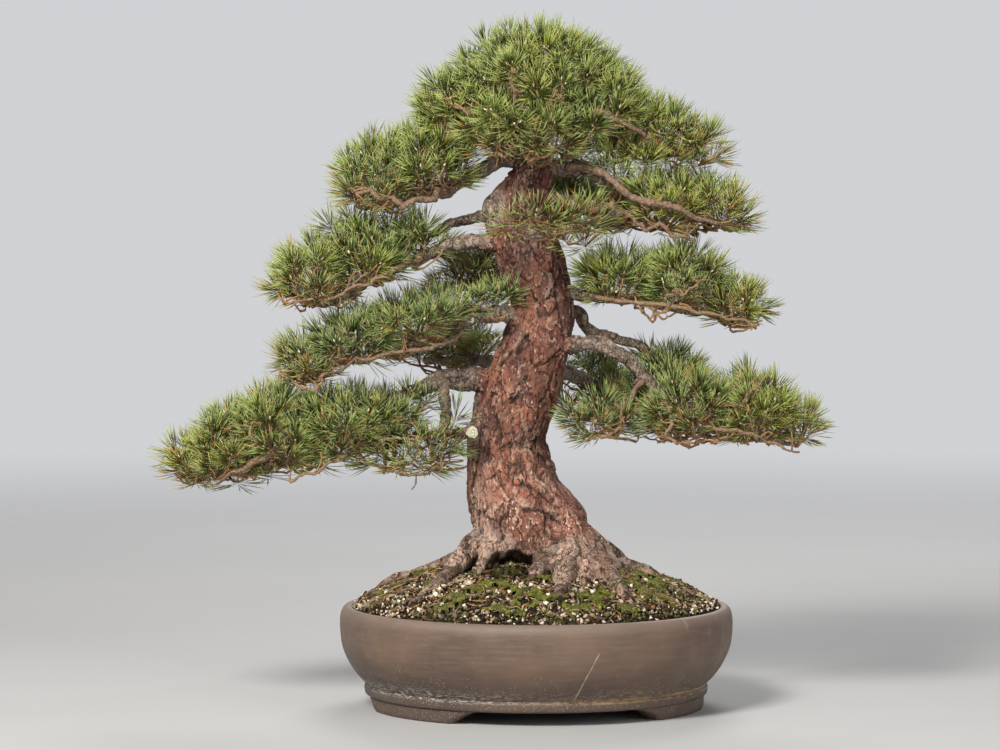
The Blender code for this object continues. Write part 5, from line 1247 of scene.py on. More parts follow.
total = 0
for number, pad in enumerate(PADS):
    rng = np.random.default_rng(900 + number)
    P, A, D = tufts_of(pad, rng)
    low_z = min(m[0][2] - m[4] for m in MASS[pad])
    foliage, tris = needles_mesh(pad.replace("foliage_", "needles_"), P, A, D, rng, low_z)
    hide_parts(pad)
    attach(foliage, "root")
    total += tris
    # twigs: boughs near the underside to each group of shoots, then a twig to each shoot
    limb = np.vstack([LIMBS[b][0][(LIMBS[b][0][:, 2] > 0.70) if b == "trunk" else slice(None)] for b in CARRIES[pad]])
    k = max(3, len(P) // 7)
    centres, lab = cluster(P, k, rng)
    hubs = centres.copy()
    for j in range(k):
        near = limb[closest(limb, hubs[j], 0.0)]
        hubs[j] = hubs[j] + (near - hubs[j]) * 0.10
        under = floor_of(pad, hubs[j]) + 0.003 + 0.008 * rng.random()
        hubs[j, 2] = under if centres[j, 2] - under < 0.062 else centres[j, 2] - rng.uniform(0.034, 0.052)
    starts = np.array([limb[closest(limb, h, 0.05)] for h in hubs])
    span = np.linalg.norm(hubs - starts, axis=1, keepdims=True)
    b1 = starts + (hubs - starts) * (0.30, 0.30, 0.45) + rng.normal(0, 0.12, (k, 3)) * span * (1, 1, 0.4) - np.array([0, 0, 0.06]) * span
    b2 = starts + (hubs - starts) * (0.70, 0.70, 0.95) + rng.normal(0, 0.12, (k, 3)) * span * (1, 1, 0.4) - np.array([0, 0, 0.10]) * span
    m = 14
    boughs = bezier(starts, b1, b2, hubs, m)
    boughs[:, 1:-1] += rng.normal(0, 0.0017, boughs[:, 1:-1].shape)
    r0 = np.clip(0.0019 + 0.024 * span[:, 0], 0.0021, 0.0046)
    rad = (r0[:, None] * np.linspace(1.0, 0.55, m)[None]) * rng.uniform(0.78, 1.30, (k, m))
    v1, q1, l1, t1 = many_tubes(boughs, rad, 5)
    shoot = np.tile(np.repeat(np.linspace(0.0, 0.55, m), 5), k) * np.repeat(rng.uniform(0.3, 1.0, k), m * 5)
    tone1 = np.stack([np.repeat(rng.random(k), m * 5), shoot, np.zeros(len(v1)), np.ones(len(v1))], 1)
    # twigs leave the outer half of their bough, run out flat and then turn up
    d_ = np.linalg.norm(boughs[lab] - (P - np.array([0, 0, 0.012]))[:, None], axis=2) + rng.uniform(0, 0.010, (len(P), m))
    pick = np.argmin(d_[:, 2:], axis=1) + 2
    root_at = boughs[lab, pick]
    reach = np.linalg.norm(P - root_at, axis=1, keepdims=True)
    c1 = root_at + (P - root_at) * (0.55, 0.55, 0.02) + rng.normal(0, 0.12, P.shape) * reach
    c2 = P - A * np.minimum(0.022, reach * 0.5)
    m2 = 7
    twigs = bezier(root_at, c1, c2, P + A * 0.009, m2)
    twigs[:, 1:-1] += rng.normal(0, 0.0009, twigs[:, 1:-1].shape)
    rad2 = np.linspace(0.0017, 0.0013, m2)[None] * rng.uniform(0.82, 1.30, (len(P), m2))
    rad2[:, -1] = 0.0010
    v2, q2, l2, t2 = many_tubes(twigs, rad2, 4)
    yo = np.tile(np.repeat(np.linspace(0.25, 1.0, m2), 4), len(P)) * np.repeat(rng.uniform(0.35, 1.0, len(P)), m2 * 4)
    tone2 = np.stack([np.repeat(rng.random(len(P)), m2 * 4), yo, np.zeros(len(v2)), np.ones(len(v2))], 1)
    # bare crooked shoots along the underside
    n4 = max(8, int(len(P) * 0.75))
    own = rng.integers(0, k, n4)
    from_ = boughs[own, rng.integers(m // 3, m, n4)]
    turn = rng.uniform(0, 2 * np.pi, n4)
    far = rng.uniform(0.018, 0.046, n4)
    to = from_ + np.stack([np.cos(turn) * far, np.sin(turn) * far, rng.uniform(-0.004, 0.014, n4)], 1)
    for j in range(n4):
        to[j, 2] = max(to[j, 2], floor_of(pad, to[j]) + 0.002)
    clear = np.hypot(to[:, 0] - np.interp(to[:, 2], TC[order, 2], TC[order, 0]), to[:, 1] - np.interp(to[:, 2], TC[order, 2], TC[order, 1])) > 0.075
    clear &= ~in_gap(to)
    from_, to, n4 = from_[clear], to[clear], int(clear.sum())
    bow = rng.normal(0, 0.008, (n4, 3)) * (1, 1, 0.6)
    bare = bezier(from_, from_ + (to - from_) * 0.35 + bow - (0, 0, 0.004), from_ + (to - from_) * 0.75 + bow, to, 6)
    bare[:, 1:-1] += rng.normal(0, 0.0012, bare[:, 1:-1].shape)
    v4, q4, l4, t4 = many_tubes(bare, np.linspace(0.0020, 0.0011, 6)[None] * rng.uniform(0.8, 1.3, (n4, 6)), 4)
    tone4 = np.stack([np.repeat(rng.random(n4), 24), np.repeat(rng.uniform(0.15, 1.0, n4), 24), np.zeros(len(v4)), np.ones(len(v4))], 1)
    if pad in SHOWN:
        lines, wide_, yng, spurs = [], [], [], []
        for young, pts in SHOWN[pad]:
            C_, R_ = path(pts, 0.004)
            t_ = np.linspace(0, len(C_) - 1, 44)
            C_ = np.stack([np.interp(t_, np.arange(len(C_)), C_[:, k_]) for k_ in range(3)], 1)
            R_ = np.interp(t_, np.arange(len(R_)), R_) * (0.66 if young > 0.15 else 0.76)
            # crooks every few joints, finer knots between
            crook = np.array([np.interp(np.arange(44), np.arange(0, 48, 4), rng.normal(0, 0.0030, 12)) for _ in range(3)]).T
            C_[2:] += crook[2:] + rng.normal(0, 0.0006, (42, 3))
            lines.append(C_)
            wide_.append(R_ * rng.uniform(0.78, 1.26, 44))
            yng.append(np.repeat(np.linspace(young * 0.15, young * 0.95, 44), 7))
            for j in rng.integers(12, 44, 6):
                way_ = unit(rng.normal(0, 1.0, 3) * (1.0, 0.45, 0.55) + (0, -0.25, 0.10))
                end = C_[j] + way_ * rng.uniform(0.010, 0.024)
                end[2] = max(end[2], floor_of(pad, end) + 0.002) if pad != "foliage_left_drop" else end[2]
                spurs.append(bezier(C_[j][None], (C_[j] + (end - C_[j]) * 0.35 + rng.normal(0, 0.003, 3))[None],
                                    (C_[j] + (end - C_[j]) * 0.75 + rng.normal(0, 0.004, 3))[None], end[None], 6)[0])
        v5, q5, l5, t5 = many_tubes(np.array(lines), np.array(wide_), 7)
        tone5 = np.stack([np.repeat(rng.random(len(lines)), 44 * 7), np.concatenate(yng), np.zeros(len(v5)), np.ones(len(v5))], 1)
        v6, q6, l6, t6 = many_tubes(np.array(spurs), np.linspace(0.0014, 0.0008, 6)[None] * rng.uniform(0.8, 1.3, (len(spurs), 6)), 4)
        tone6 = np.stack([np.repeat(rng.random(len(spurs)), 24), np.repeat(rng.uniform(0.2, 0.8, len(spurs)), 24), np.zeros(len(v6)), np.ones(len(v6))], 1)
        old_wood = piece(pad.replace("foliage_", "boughs_"), np.vstack([v5, v6]), [np.vstack([q5, q6 + len(v5)]), l5, t5, l6 + len(v5), t6 + len(v5)],
                         TWIG, {"twig": np.vstack([tone5, tone6])})
        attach(old_wood, "root")
    # a bud or two at each shoot's end, leaning apart
    twin = np.concatenate([np.arange(len(P)), np.nonzero(rng.random(len(P)) < 0.7)[0]])
    aim = unit(A[twin] + rng.normal(0, 0.26, (len(twin), 3)))
    v3, f3 = bud_mesh(P[twin] + aim * 0.0035, aim, rng)
    tone3 = np.stack([np.repeat(rng.random(len(twin)), 6), np.ones(len(v3)), np.ones(len(v3)), np.ones(len(v3))], 1)
    o1, o2 = len(v1), len(v1) + len(v2)
    o3 = o2 + len(v3)
    tw = piece(pad.replace("foliage_", "twigs_"), np.vstack([v1, v2, v3, v4]),
               [np.vstack([q1, q2 + o1, q4 + o3]), l1, t1, l2 + o1, t2 + o1, f3 + o2, l4 + o3, t4 + o3],
               TWIG, {"twig": np.vstack([tone1, tone2, tone3, tone4])})
    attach(tw, "root")
    total += 2 * (len(q1) + len(q2)) + len(f3)
    print(pad, "tufts", len(P), "needle triangles", tris)
print("foliage triangles", total)

# ------------------------------------------------------------------ soil
NODES["soil"].data.materials.clear()
NODES["soil"].data.materials.append(SOIL)
for key in ("drain_mesh_centre", "drain_mesh_left", "drain_mesh_right"):
    NODES[key].data.materials.clear()
    NODES[key].data.materials.append(NET)

tree = KDTree(sum(len(LIMBS[k][0]) for k in LIMBS if k == "trunk" or k.startswith("root_")))
radii = []
for k in LIMBS:
    if k == "trunk" or k.startswith("root_"):
        for c, r in zip(*LIMBS[k]):
            tree.insert(c, len(radii))
            radii.append(r)
tree.balance()


def in_wood(p, k=0.92):
    c, i, d = tree.find(p)
    return d < radii[i] * k


MOSS_SPOTS = {    # x and y from the pot's axis, half sizes, height, dryness
    "moss_front_left": [(-0.104, -0.178, 0.040, 0.026, 0.0065, 0.25)],
    "moss_front_middle": [(-0.010, -0.184, 0.030, 0.026, 0.0075, 0.10)],
    "moss_front_right": [(0.072, -0.190, 0.022, 0.026, 0.0075, 0.0)],
    "moss_right": [(0.158, -0.060, 0.022, 0.042, 0.0070, 0.15)],
    "moss_back": [(0.010, 0.195, 0.060, 0.024, 0.0070, 0.15)],
}
LOOSE_SPOTS = [(-0.048, -0.142, 0.030, 0.014, 0.006, 0.15), (0.005, -0.125, 0.018, 0.014, 0.006, 0.2), (0.085, -0.160, 0.016, 0.016, 0.006, 0.0),
               (0.055, -0.215, 0.020, 0.012, 0.005, 0.1), (-0.055, -0.215, 0.022, 0.012, 0.005, 0.3), (0.120, -0.110, 0.020, 0.016, 0.006, 0.1),
               (0.150, -0.130, 0.018, 0.014, 0.005, 0.4), (-0.135, -0.090, 0.018, 0.020, 0.005, 0.5),
               (-0.150, 0.020, 0.022, 0.028, 0.006, 0.2), (0.120, 0.150, 0.035, 0.020, 0.006, 0.2), (-0.110, 0.150, 0.030, 0.022, 0.006, 0.2),
               (0.190, 0.010, 0.016, 0.024, 0.005, 0.3), (0.020, -0.232, 0.026, 0.009, 0.004, 0.4), (0.115, -0.200, 0.014, 0.012, 0.005, 0.3)]


_spots = np.random.default_rng(404)
for _ in range(46):
    _a, _r = _spots.uniform(0, 2 * math.pi), 0.238 * math.sqrt(_spots.uniform(0.10, 1.0))
    if math.hypot(_r * math.sin(_a) + 0.038, _r * math.cos(_a) + 0.085) < 0.040:
        continue
    LOOSE_SPOTS.append((_r * math.sin(_a), _r * math.cos(_a), _spots.uniform(0.006, 0.015), _spots.uniform(0.006, 0.013),
                        _spots.uniform(0.003, 0.006), _spots.uniform(0.0, 0.5)))


def spot_cover(x, y, spot):
    """1 in the middle of a patch, 0 at its uneven edge."""
    sx, sy, rx, ry, _, _ = spot
    d = np.hypot((x - sx) / rx, (y - sy) / ry)
    n = fbm(np.stack([x * 70, y * 70, np.zeros_like(x)], -1), 3, 7)
    m = noise(np.stack([x * 210, y * 210, np.zeros_like(x)], -1), 9)
    k = noise(np.stack([x * 120 + 31, y * 120, np.zeros_like(x)], -1), 14)
    return 0.98 - d - (n - 0.5) * 2.3 - (m - 0.5) * 1.1 - 0.9 * smooth(0.60, 0.76, k)


def ground(x, y):
    return mound(np.hypot(x, y)) + (fbm(np.stack([x * 30, y * 30, x * 0], -1), 3, 3) - 0.44) * 0.0075


def shaded(x, y):
    """1 on the soil in the hollow between the front roots, where it is darkened as painted shade."""
    return np.exp(-(((x + 0.038) / 0.041) ** 4 + ((y + 0.090) / 0.043) ** 4))


def make_grains(rng):
    gap = 0.0044
    xs = np.arange(-0.253, 0.253, gap)
    gx, gy = np.meshgrid(xs, xs * 1.0)
    gx = gx + (np.arange(len(xs)) % 2)[:, None] * gap / 2
    x = gx.ravel() + rng.normal(0, gap * 0.28, gx.size)
    y = gy.ravel() + rng.normal(0, gap * 0.28, gx.size)
    extra = rng.random(len(x)) < 0.10
    x = np.concatenate([x, x[extra] + rng.normal(0, 0.003, extra.sum())])
    y = np.concatenate([y, y[extra] + rng.normal(0, 0.003, extra.sum())])
    r = np.hypot(x, y)
    ok = r < 0.2505
    x, y, r = x[ok], y[ok], r[ok]
    size = np.clip(rng.lognormal(math.log(0.0023), 0.36, len(x)), 0.0012, 0.0054)
    cover = np.max([spot_cover(x, y, s) for s in LOOSE_SPOTS + [s[0] for s in MOSS_SPOTS.values()]], axis=0)
    ok = (cover < 0.10) | (rng.random(len(x)) < 0.30)
    z = ground(x, y) + size * rng.uniform(0.0, 0.75, len(x))
    for i in range(len(x)):
        if ok[i] and in_wood((x[i] + X0, y[i], z[i])):
            ok[i] = False
    x, y, z, size = x[ok], y[ok], z[ok], size[ok]
    n = len(x)
    # broken stones: eight-sided, their corners pushed about
    octa = np.array([(1, 0, 0), (-1, 0, 0), (0, 1, 0), (0, -1, 0), (0, 0, 1), (0, 0, -1)], float)
    faces = np.array([(0, 2, 4), (2, 1, 4), (1, 3, 4), (3, 0, 4), (2, 0, 5), (1, 2, 5), (3, 1, 5), (0, 3, 5)])
    b = octa[None] * rng.uniform(0.70, 1.30, (n, 6, 1)) + rng.normal(0, 0.22, (n, 6, 3))
    b = b * rng.uniform(0.65, 1.25, (n, 1, 3)) * size[:, None, None]
    q = unit(rng.normal(size=(n, 4)))
    w_, i_, j_, k_ = q.T
    M = np.stack([np.stack([1 - 2 * (j_ * j_ + k_ * k_), 2 * (i_ * j_ - k_ * w_), 2 * (i_ * k_ + j_ * w_)], -1),
                  np.stack([2 * (i_ * j_ + k_ * w_), 1 - 2 * (i_ * i_ + k_ * k_), 2 * (j_ * k_ - i_ * w_)], -1),
                  np.stack([2 * (i_ * k_ - j_ * w_), 2 * (j_ * k_ + i_ * w_), 1 - 2 * (i_ * i_ + j_ * j_)], -1)], -2)
    b = np.einsum("nij,nvj->nvi", M, b)
    v = b + np.stack([x + X0, y, z], -1)[:, None]
    tones = np.array([(0.96, 0.82, 0.60), (0.96, 0.76, 0.60), (0.42, 0.27, 0.14), (0.36, 0.17, 0.07), (0.085, 0.045, 0.023),
                      (0.030, 0.017, 0.009), (0.26, 0.19, 0.13), (0.48, 0.37, 0.24)])
    kind = rng.choice(len(tones), n, p=[0.19, 0.08, 0.09, 0.06, 0.18, 0.28, 0.04, 0.08])
    col = np.minimum(tones[kind] * rng.uniform(0.70, 1.20, (n, 1)), 0.97)
    mossy = smooth(0.50, 0.66, fbm(np.stack([x * 24, y * 24, x * 0], -1), 3, 61)) * (rng.random(n) < 0.75)
    col = col * (1 - 0.85 * mossy[:, None]) + np.array([0.075, 0.078, 0.022]) * 0.85 * mossy[:, None] * rng.uniform(0.5, 1.6, (n, 1))
    # painted shade on the grains in the hollow between the front roots
    col = col * (1 - 0.90 * shaded(x, y))[:, None]
    col = np.repeat(col, 6, axis=0)
    f = (np.arange(n) * 6)[:, None, None] + faces[None]
    o = piece("soil_grains", v.reshape(-1, 3), [f.reshape(-1, 3)], GRAIN, {"grain": col}, shade=False)
    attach(o, "root")
    return n


def make_litter(rng):
    """Fallen needles and bits of root lying on the soil."""
    n = 1900
    a, r = rng.uniform(0, 2 * np.pi, n), 0.245 * np.sqrt(rng.random(n))
    x, y = r * np.sin(a), r * np.cos(a)
    h = rng.uniform(0, 2 * np.pi, n)
    L = rng.uniform(0.006, 0.024, n)
    t = np.linspace(-0.5, 0.5, 3)
    bend = rng.normal(0, 0.22, n)[:, None] * (t ** 2)[None] * L[:, None] * 2
    px = x[:, None] + np.cos(h)[:, None] * t * L[:, None] - np.sin(h)[:, None] * bend
    py = y[:, None] + np.sin(h)[:, None] * t * L[:, None] + np.cos(h)[:, None] * bend
    rr = np.hypot(px, py)
    fit = np.minimum(1, 0.249 / rr)
    px, py = px * fit, py * fit
    pz = ground(px.ravel(), py.ravel()).reshape(px.shape) + 0.0032 + rng.uniform(0, 0.002, (n, 1)) + rng.normal(0, 0.0005, px.shape)
    P = np.stack([px + X0, py, pz], -1)
    R_ = np.where(rng.random((n, 1)) < 0.22, rng.uniform(0.0010, 0.0019, (n, 1)), rng.uniform(0.0004, 0.0010, (n, 1))) * np.array([0.6, 1, 0.5])[None]
    v, q, lo, hi = many_tubes(P, R_, 3)
    tones = np.array([(0.38, 0.21, 0.085), (0.085, 0.046, 0.024), (0.50, 0.36, 0.20), (0.30, 0.22, 0.155)])
    # litter darkened by painted shade in the hollow between the front roots
    col = tones[rng.choice(4, n)] * rng.uniform(0.6, 1.3, (n, 1)) * (1 - 0.88 * shaded(px.mean(1), py.mean(1)))[:, None]
    col = np.repeat(col, 9, axis=0)
    o = piece("soil_litter", v, [q, lo, hi], GRAIN, {"grain": col})
    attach(o, "root")


def make_moss(name, spots, rng, replaced=None):
    vs, fs, at_, off = [], [], [], 0
    step = 0.0026
    for spot in spots:
        sx, sy, rx, ry, hi, dry = spot
        nx, ny = int(2.5 * rx / step), int(2.5 * ry / step)
        gx, gy = np.meshgrid(np.linspace(sx - 1.25 * rx, sx + 1.25 * rx, nx), np.linspace(sy - 1.25 * ry, sy + 1.25 * ry, ny), indexing="ij")
        cov = spot_cover(gx.ravel(), gy.ravel(), spot)
        lump = fbm(np.stack([gx.ravel() * 130, gy.ravel() * 130, gx.ravel() * 0], -1), 3, 21)
        rr = np.hypot(gx, gy).ravel()
        up = np.where(cov > 0, hi * (0.35 + 0.75 * lump) * smooth(0.0, 0.35, cov), -0.006)
        z = ground(gx.ravel(), gy.ravel()) + 0.0016 + up
        z = np.where(rr > 0.249, np.minimum(z, 0.132), z)
        v = np.stack([gx.ravel() + X0, gy.ravel(), z], -1)
        i = np.arange(nx * ny).reshape(nx, ny)
        quad = np.stack([i[:-1, :-1], i[1:, :-1], i[1:, 1:], i[:-1, 1:]], -1).reshape(-1, 4)
        good = (cov.reshape(nx, ny) > -0.12) & (rr.reshape(nx, ny) < 0.2505)
        ok = good[:-1, :-1] & good[1:, :-1] & good[1:, 1:] & good[:-1, 1:]
        quad = quad[ok.ravel()]
        vs.append(v)
        fs.append(quad + off)
        off += len(v)
        at_.append(np.stack([lump * 0.5, lump, np.full(len(v), dry) * (rng.random(len(v)) < 0.5), np.ones(len(v))], -1))
        # leafy tips
        m = int(1.0 * 4.2e5 * rx * ry * math.pi)
        px, py = rng.uniform(-1.1, 1.1, m) * rx + sx, rng.uniform(-1.1, 1.1, m) * ry + sy
        cv = spot_cover(px, py, spot)
        keep_ = (cv > 0.03) & (np.hypot(px, py) < 0.2495)
        px, py, cv = px[keep_], py[keep_], cv[keep_]
        lump = fbm(np.stack([px * 130, py * 130, px * 0], -1), 3, 21)
        pz = ground(px, py) + 0.0010 + hi * (0.35 + 0.75 * lump) * smooth(0.0, 0.35, cv)
        m = len(px)
        tipd = unit(rng.normal(0, 0.55, (m, 3)) + (0, 0, 1.0)) * rng.uniform(0.0018, 0.0042, (m, 1))
        b0 = np.stack([px + X0, py, pz], -1)
        e1 = unit(np.cross(tipd, rng.normal(size=(m, 3))))
        e2 = unit(np.cross(tipd, e1))
        w = rng.uniform(0.00035, 0.0007, (m, 1))
        tv = np.stack([b0 + e1 * w, b0 - e1 * w * 0.5 + e2 * w * 0.87, b0 - e1 * w * 0.5 - e2 * w * 0.87, b0 + tipd], 1)
        tri = np.array([(0, 1, 3), (1, 2, 3), (2, 0, 3), (0, 2, 1)])
        f = (np.arange(m) * 4)[:, None, None] + tri[None]
        fs.append(f.reshape(-1, 3) + off)
        vs.append(tv.reshape(-1, 3))
        off += 4 * m
        rnd = np.repeat(rng.random(m), 4)
        tipv = np.tile([0.2, 0.2, 0.2, 1.0], m)
        drv = np.repeat((rng.random(m) < dry) * 0.8, 4)
        at_.append(np.stack([tipv, rnd, drv, np.ones(4 * m)], -1))
    o = piece(name, np.vstack(vs), fs, MOSS, {"moss": np.vstack(at_)})
    if replaced:
        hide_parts(replaced)
    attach(o, "root")


def make_sprigs(rng):
    """Small leafy seedlings in the hollow between two roots."""
    vs, fs, at_, off = [], [], [], 0
    for cx, cy, hh in ((-0.040, -0.088, 0.016), (-0.030, -0.095, 0.020), (-0.052, -0.100, 0.012), (-0.022, -0.102, 0.011), (0.112, -0.085, 0.012),
                       (-0.046, -0.112, 0.010), (0.128, -0.092, 0.010)):
        for s in range(4):
            bx, by = cx + rng.normal(0, 0.003), cy + rng.normal(0, 0.003)
            bz = float(ground(np.array([bx]), np.array([by]))[0])
            lean = unit(np.array([rng.normal(0, 0.3), rng.normal(-0.1, 0.3), 1.0]))
            for k in range(11):
                t = (k + 1) / 11
                c = np.array([bx + X0, by, bz]) + lean * hh * t
                a = k * 2.4
                d = unit(np.array([math.cos(a), math.sin(a), 0.45])) * 0.0030 * (1.15 - 0.4 * t)
                w = unit(np.cross(d, (0, 0, 1))) * 0.0009
                up = np.array([0, 0, 0.0004])
                vs.append(np.array([c - w * 0.4, c + d * 0.5 - w, c + d, c + d * 0.5 + w, c + d * 0.5 + up]))
                fs += [(off, off + 1, off + 4), (off + 1, off + 2, off + 4), (off + 2, off + 3, off + 4), (off + 3, off, off + 4), (off, off + 3, off + 2), (off, off + 2, off + 1)]
                at_ += [(0.3, 0.6, 0, 1), (0.6, 0.6, 0, 1), (1, 0.8, 0, 1), (0.6, 0.6, 0, 1), (0.5, 0.6, 0, 1)]
                off += 5
    o = piece("soil_sprigs", np.vstack(vs), [np.array(fs)], MOSS, {"moss": np.array(at_)})
    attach(o, "root")


print("grains", make_grains(np.random.default_rng(5)))
make_litter(np.random.default_rng(6))
for i, (key, spots) in enumerate(MOSS_SPOTS.items()):
    make_moss(key.replace("moss_", "moss_patch_"), spots, np.random.default_rng(70 + i), key)
make_moss("moss_patch_scattered", LOOSE_SPOTS, np.random.default_rng(80))
make_sprigs(np.random.default_rng(81))

# ------------------------------------------------------------------ pot
FLOOR_TOP, FOOT_H = 0.0310, 0.0185
PROFILE = [
    (0.0, FLOOR_TOP), (0.150, FLOOR_TOP), (0.205, 0.0325), (0.222, 0.040), (0.2335, 0.052), (0.2440, 0.067),
    (0.2520, 0.083), (0.2565, 0.100), (0.2577, 0.116), (0.2563, 0.128), (0.2535, 0.1365), (0.2543, 0.1388),
    (0.2565, 0.1398), (0.2600, 0.1400), (0.2640, 0.1386), (0.2680, 0.1335), (0.2702, 0.1245), (0.2705, 0.1130), (0.2697, 0.1010),
    (0.2676, 0.0860), (0.2610, 0.0690), (0.2505, 0.0515), (0.2385, 0.0380), (0.2346, 0.0352), (0.2338, 0.0334),
    (0.2345, 0.0320), (0.2362, 0.0310), (0.2365, 0.0285), (0.2362, 0.0240), (0.2354, 0.0210), (0.2335, 0.0191), (0.2290, FOOT_H), (0.0, FOOT_H),
]
TURN = math.radians(8.0)
FEET = [TURN - math.radians(60), TURN + math.radians(60), TURN + math.pi]


def smooth_profile(pts, n=5):
    P = np.array(pts)
    out = [P[0]]
    for i in range(len(P) - 1):
        a, b, c, d = P[max(0, i - 1)], P[i], P[i + 1], P[min(len(P) - 1, i + 2)]
        straight = i in (0, len(P) - 2)
        for k in range(1, n + 1):
            t = k / n
            if straight:
                out.append(b + (c - b) * t)
            else:
                la, lb, lc = (np.linalg.norm(q) + 1e-9 for q in (b - a, c - b, d - c))
                m1 = (c - b) * 0.5 + (b - a) * 0.5 * lb / la
                m2 = (c - b) * 0.5 + (d - c) * 0.5 * lb / lc
                out.append((2 * t ** 3 - 3 * t ** 2 + 1) * b + (t ** 3 - 2 * t ** 2 + t) * m1 + (-2 * t ** 3 + 3 * t ** 2) * c + (t ** 3 - t ** 2) * m2)
    return np.array(out)


def lathe(name, prof, steps, mat):
    prof = np.array(prof)
    prof[0, 0] = prof[-1, 0] = 0
    inner = prof[1:-1]
    a = 2 * np.pi * np.arange(steps) / steps
    ring = np.stack([inner[:, None, 0] * np.sin(a)[None], -inner[:, None, 0] * np.cos(a)[None], np.repeat(inner[:, 1:2], steps, 1)], -1)
    v = np.vstack([ring.reshape(-1, 3), [[0, 0, prof[0, 1]], [0, 0, prof[-1, 1]]]])
    r2 = np.hypot(v[:, 0], v[:, 1])
    hand = (fbm(v * 9, 3, 31) - 0.5) * 0.0016 * smooth(0.20, 0.235, r2)
    v[:, 0] += v[:, 0] / np.maximum(r2, 1e-6) * hand
    v[:, 1] += v[:, 1] / np.maximum(r2, 1e-6) * hand
    v[:, 0] += X0
    m = len(inner)
    i = np.arange(m - 1)[:, None] * steps
    j = np.arange(steps)[None]
    k = (j + 1) % steps
    q = np.stack([i + j, i + steps + j, i + steps + k, i + k], -1).reshape(-1, 4)
    j, k = np.arange(steps), (np.arange(steps) + 1) % steps
    t0 = np.stack([j, k, np.full(steps, m * steps)], 1)
    t1 = np.stack([(m - 1) * steps + k, (m - 1) * steps + j, np.full(steps, m * steps + 1)], 1)
    return piece(name, v, [q, np.vstack([t0, t1])], mat)


pot = lathe("pot_body", smooth_profile(PROFILE, 3), 160, CLAY)


def foot_mesh(name, turn):
    """A low cloud foot with softened edges and rounded ends."""
    levels = [(0.0000, -0.0028, 0.00), (0.0006, -0.0011, 0.02), (0.0020, 0.0, 0.07), (0.0050, 0.0008, 0.20), (0.0090, 0.0012, 0.40),
              (0.0130, 0.0014, 0.68), (0.0160, 0.0014, 0.90), (FOOT_H + 0.0012, 0.0014, 1.0)]
    n = 34
    rings = []
    for z, swell, k in levels:
        half = math.radians(22.0 + 8.0 * (k ** 1.15))
        ro, ri = 0.2300 + swell, 0.1965 - swell / 2
        pts = []
        soft = 0.006
        t = np.linspace(-1, 1, n)
        for s in t:
            e = max(0.0, (abs(s) - 0.93) / 0.07)
            a = turn + s * half
            pts.append((ro - soft * (1 - math.sqrt(max(0, 1 - e * e))), a))
        for s in t[::-1]:
            e = max(0.0, (abs(s) - 0.93) / 0.07)
            a = turn + s * half
            pts.append((ri + soft * (1 - math.sqrt(max(0, 1 - e * e))), a))
        rings.append([(X0 + r * math.sin(a), -r * math.cos(a), z) for r, a in pts])
    v = np.array(rings).reshape(-1, 3)
    m = 2 * n
    i = np.arange(len(levels) - 1)[:, None] * m
    j = np.arange(m)[None]
    k = (j + 1) % m
    q = np.stack([i + j, i + k, i + m + k, i + m + j], -1).reshape(-1, 4)
    jj = np.arange(n - 1)
    bot = np.stack([jj + 1, jj, 2 * n - 1 - jj, 2 * n - 2 - jj], -1)
    top = np.stack([jj, jj + 1, 2 * n - 2 - jj, 2 * n - 1 - jj], -1) + (len(levels) - 1) * m
    return piece(name, v, [q, bot, top], CLAY)


feet = [foot_mesh(f"pot_foot_{k}", t) for k, t in zip(("front_left", "front_right", "back"), FEET)]
for k, (x, y, r) in enumerate(((0.0, 0.0, 0.0170), (-0.120, 0.010, 0.0125), (0.120, 0.010, 0.0125))):
    a = 2 * np.pi * np.arange(48) / 48
    prof = [(r + 0.0022, FOOT_H - 0.004), (r + 0.0022, FOOT_H - 0.0002), (r + 0.0006, FOOT_H + 0.0012), (r, FOOT_H + 0.003), (r, FLOOR_TOP - 0.002),
            (r + 0.001, FLOOR_TOP - 0.0003), (r + 0.001, FLOOR_TOP + 0.004)]
    v = np.array([(X0 + x + q * math.cos(t), y + q * math.sin(t), z) for q, z in prof for t in a])
    j, kk = np.arange(48), (np.arange(48) + 1) % 48
    quads = np.vstack([np.stack([i * 48 + j, i * 48 + kk, (i + 1) * 48 + kk, (i + 1) * 48 + j], -1) for i in range(len(prof) - 1)])
    o = piece(f"hole_cutter_{k}", v, [quads, (np.arange(48)[::-1])[None], (np.arange(48) + (len(prof) - 1) * 48)[None]], CLAY)
    b = pot.modifiers.new(f"hole_{k}", "BOOLEAN")
    b.operation, b.solver, b.object = "DIFFERENCE", "EXACT", o
bpy.context.view_layer.update()
cut = bpy.data.meshes.new_from_object(pot.evaluated_get(bpy.context.evaluated_depsgraph_get()))
pot.modifiers.clear()
old = pot.data
pot.data = cut
bpy.data.meshes.remove(old)
for o in list(bpy.data.objects):
    if o.name.startswith("hole_cutter_"):
        bpy.data.objects.remove(o)
pot.data.set_sharp_from_angle(angle=math.radians(55))
for o in [pot] + feet:
    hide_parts("pot")
    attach(o, "root")

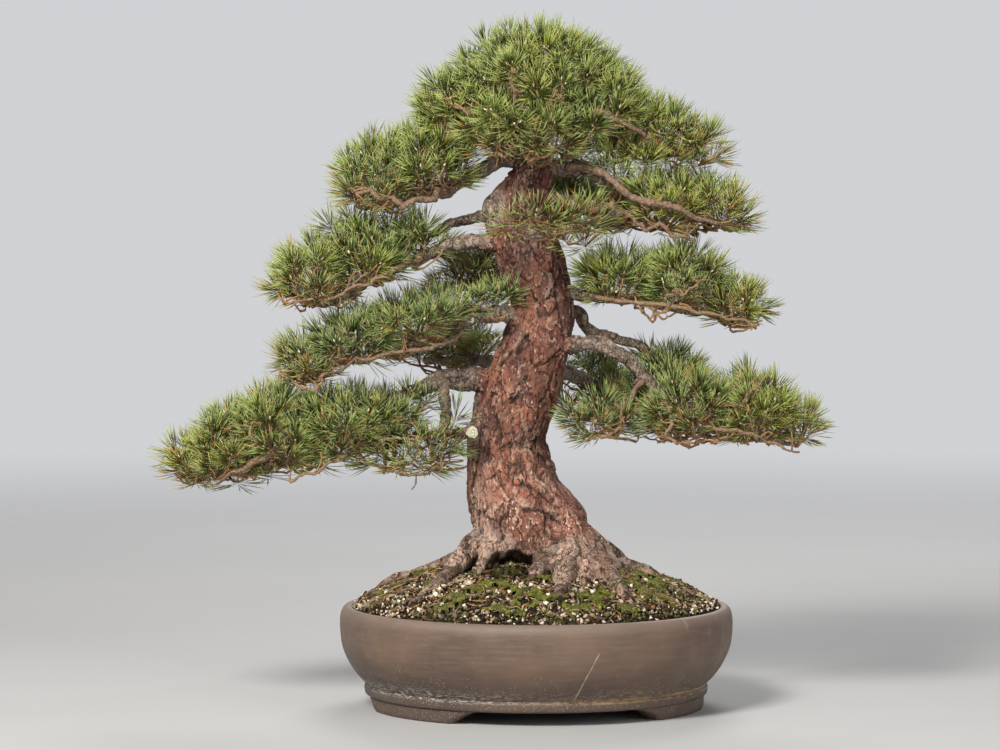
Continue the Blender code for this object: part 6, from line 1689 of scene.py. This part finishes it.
# ------------------------------------------------------------------ studio
def stage_floor():
    """A wide pale floor that melts into the pale horizon."""
    m, nt, p = new_material("studio_floor")
    g = Graph(nt)
    v = g.coords()
    g.put(p.inputs["Base Color"], g.mix(g.ramp(g.noise(v, 1.5, 3), 0.3, 0.7), (0.47, 0.467, 0.46), (0.49, 0.487, 0.48)))
    p.inputs["Roughness"].default_value = 0.8
    x, y, z = g.axes()
    r = g.math("SQRT", g.math("ADD", g.math("MULTIPLY", x, x), g.math("MULTIPLY", y, y)))
    g.put(p.inputs["Alpha"], g.ramp(r, 1.3, 5.0, 1.0, 0.0))
    a = 2 * np.pi * np.arange(96) / 96
    v = np.array([(5.2 * math.cos(t), 5.2 * math.sin(t), 0.0) for t in a] + [(0, 0, 0)])
    t = np.stack([np.arange(96), (np.arange(96) + 1) % 96, np.full(96, 96)], 1)
    piece("studio_floor", v, [t], m)


stage_floor()
world = bpy.data.worlds.new("studio")
world.use_nodes = True
wg = Graph(world.node_tree)
bg = world.node_tree.nodes["Background"]
sky = wg.node("ShaderNodeTexCoord")
up = wg.node("ShaderNodeSeparateXYZ")
wg.put(up.inputs[0], sky.outputs["Generated"])
wg.put(bg.inputs["Color"], (0.96, 0.97, 1.0, 1))
wg.put(bg.inputs["Strength"], wg.ramp(up.outputs[2], 0.05, 0.30, 0.66, 0.22))
bpy.context.scene.world = world
bpy.context.scene.view_settings.view_transform = "Standard"


def area(name, where, target, size, power, colour=(1, 1, 1), size_y=None):
    d = bpy.data.lights.new(name, "AREA")
    d.energy, d.size, d.color = power, size, colour
    if size_y:
        d.shape, d.size_y = "RECTANGLE", size_y
    o = bpy.data.objects.new(name, d)
    bpy.context.scene.collection.objects.link(o)
    o.location = where
    dirv = np.array(target) - np.array(where)
    o.rotation_euler = Vector(dirv).to_track_quat("-Z", "Y").to_euler()
    return o


area("key", (-1.5, -3.1, 2.9), (0.0, 0, 0.45), 1.1, 235, (1.0, 0.975, 0.94))
area("fill", (2.4, -2.8, 1.3), (0.0, 0, 0.45), 1.6, 34, (0.97, 0.98, 1.0))
area("back", (0.5, 2.8, 2.6), (0.0, 0, 0.5), 1.6, 60, (1.0, 1.0, 1.0))

cam = bpy.data.objects.new("camera", bpy.data.cameras.new("camera"))
bpy.context.scene.collection.objects.link(cam)
cam.data.sensor_width, cam.data.lens = 36.0, EYE / 1000 * 36.0
cam.data.clip_start, cam.data.clip_end = 0.1, 200
cam.location = EYE_AT
cam.rotation_euler = (math.pi / 2 - TILT, 0, 0)
bpy.context.scene.camera = cam
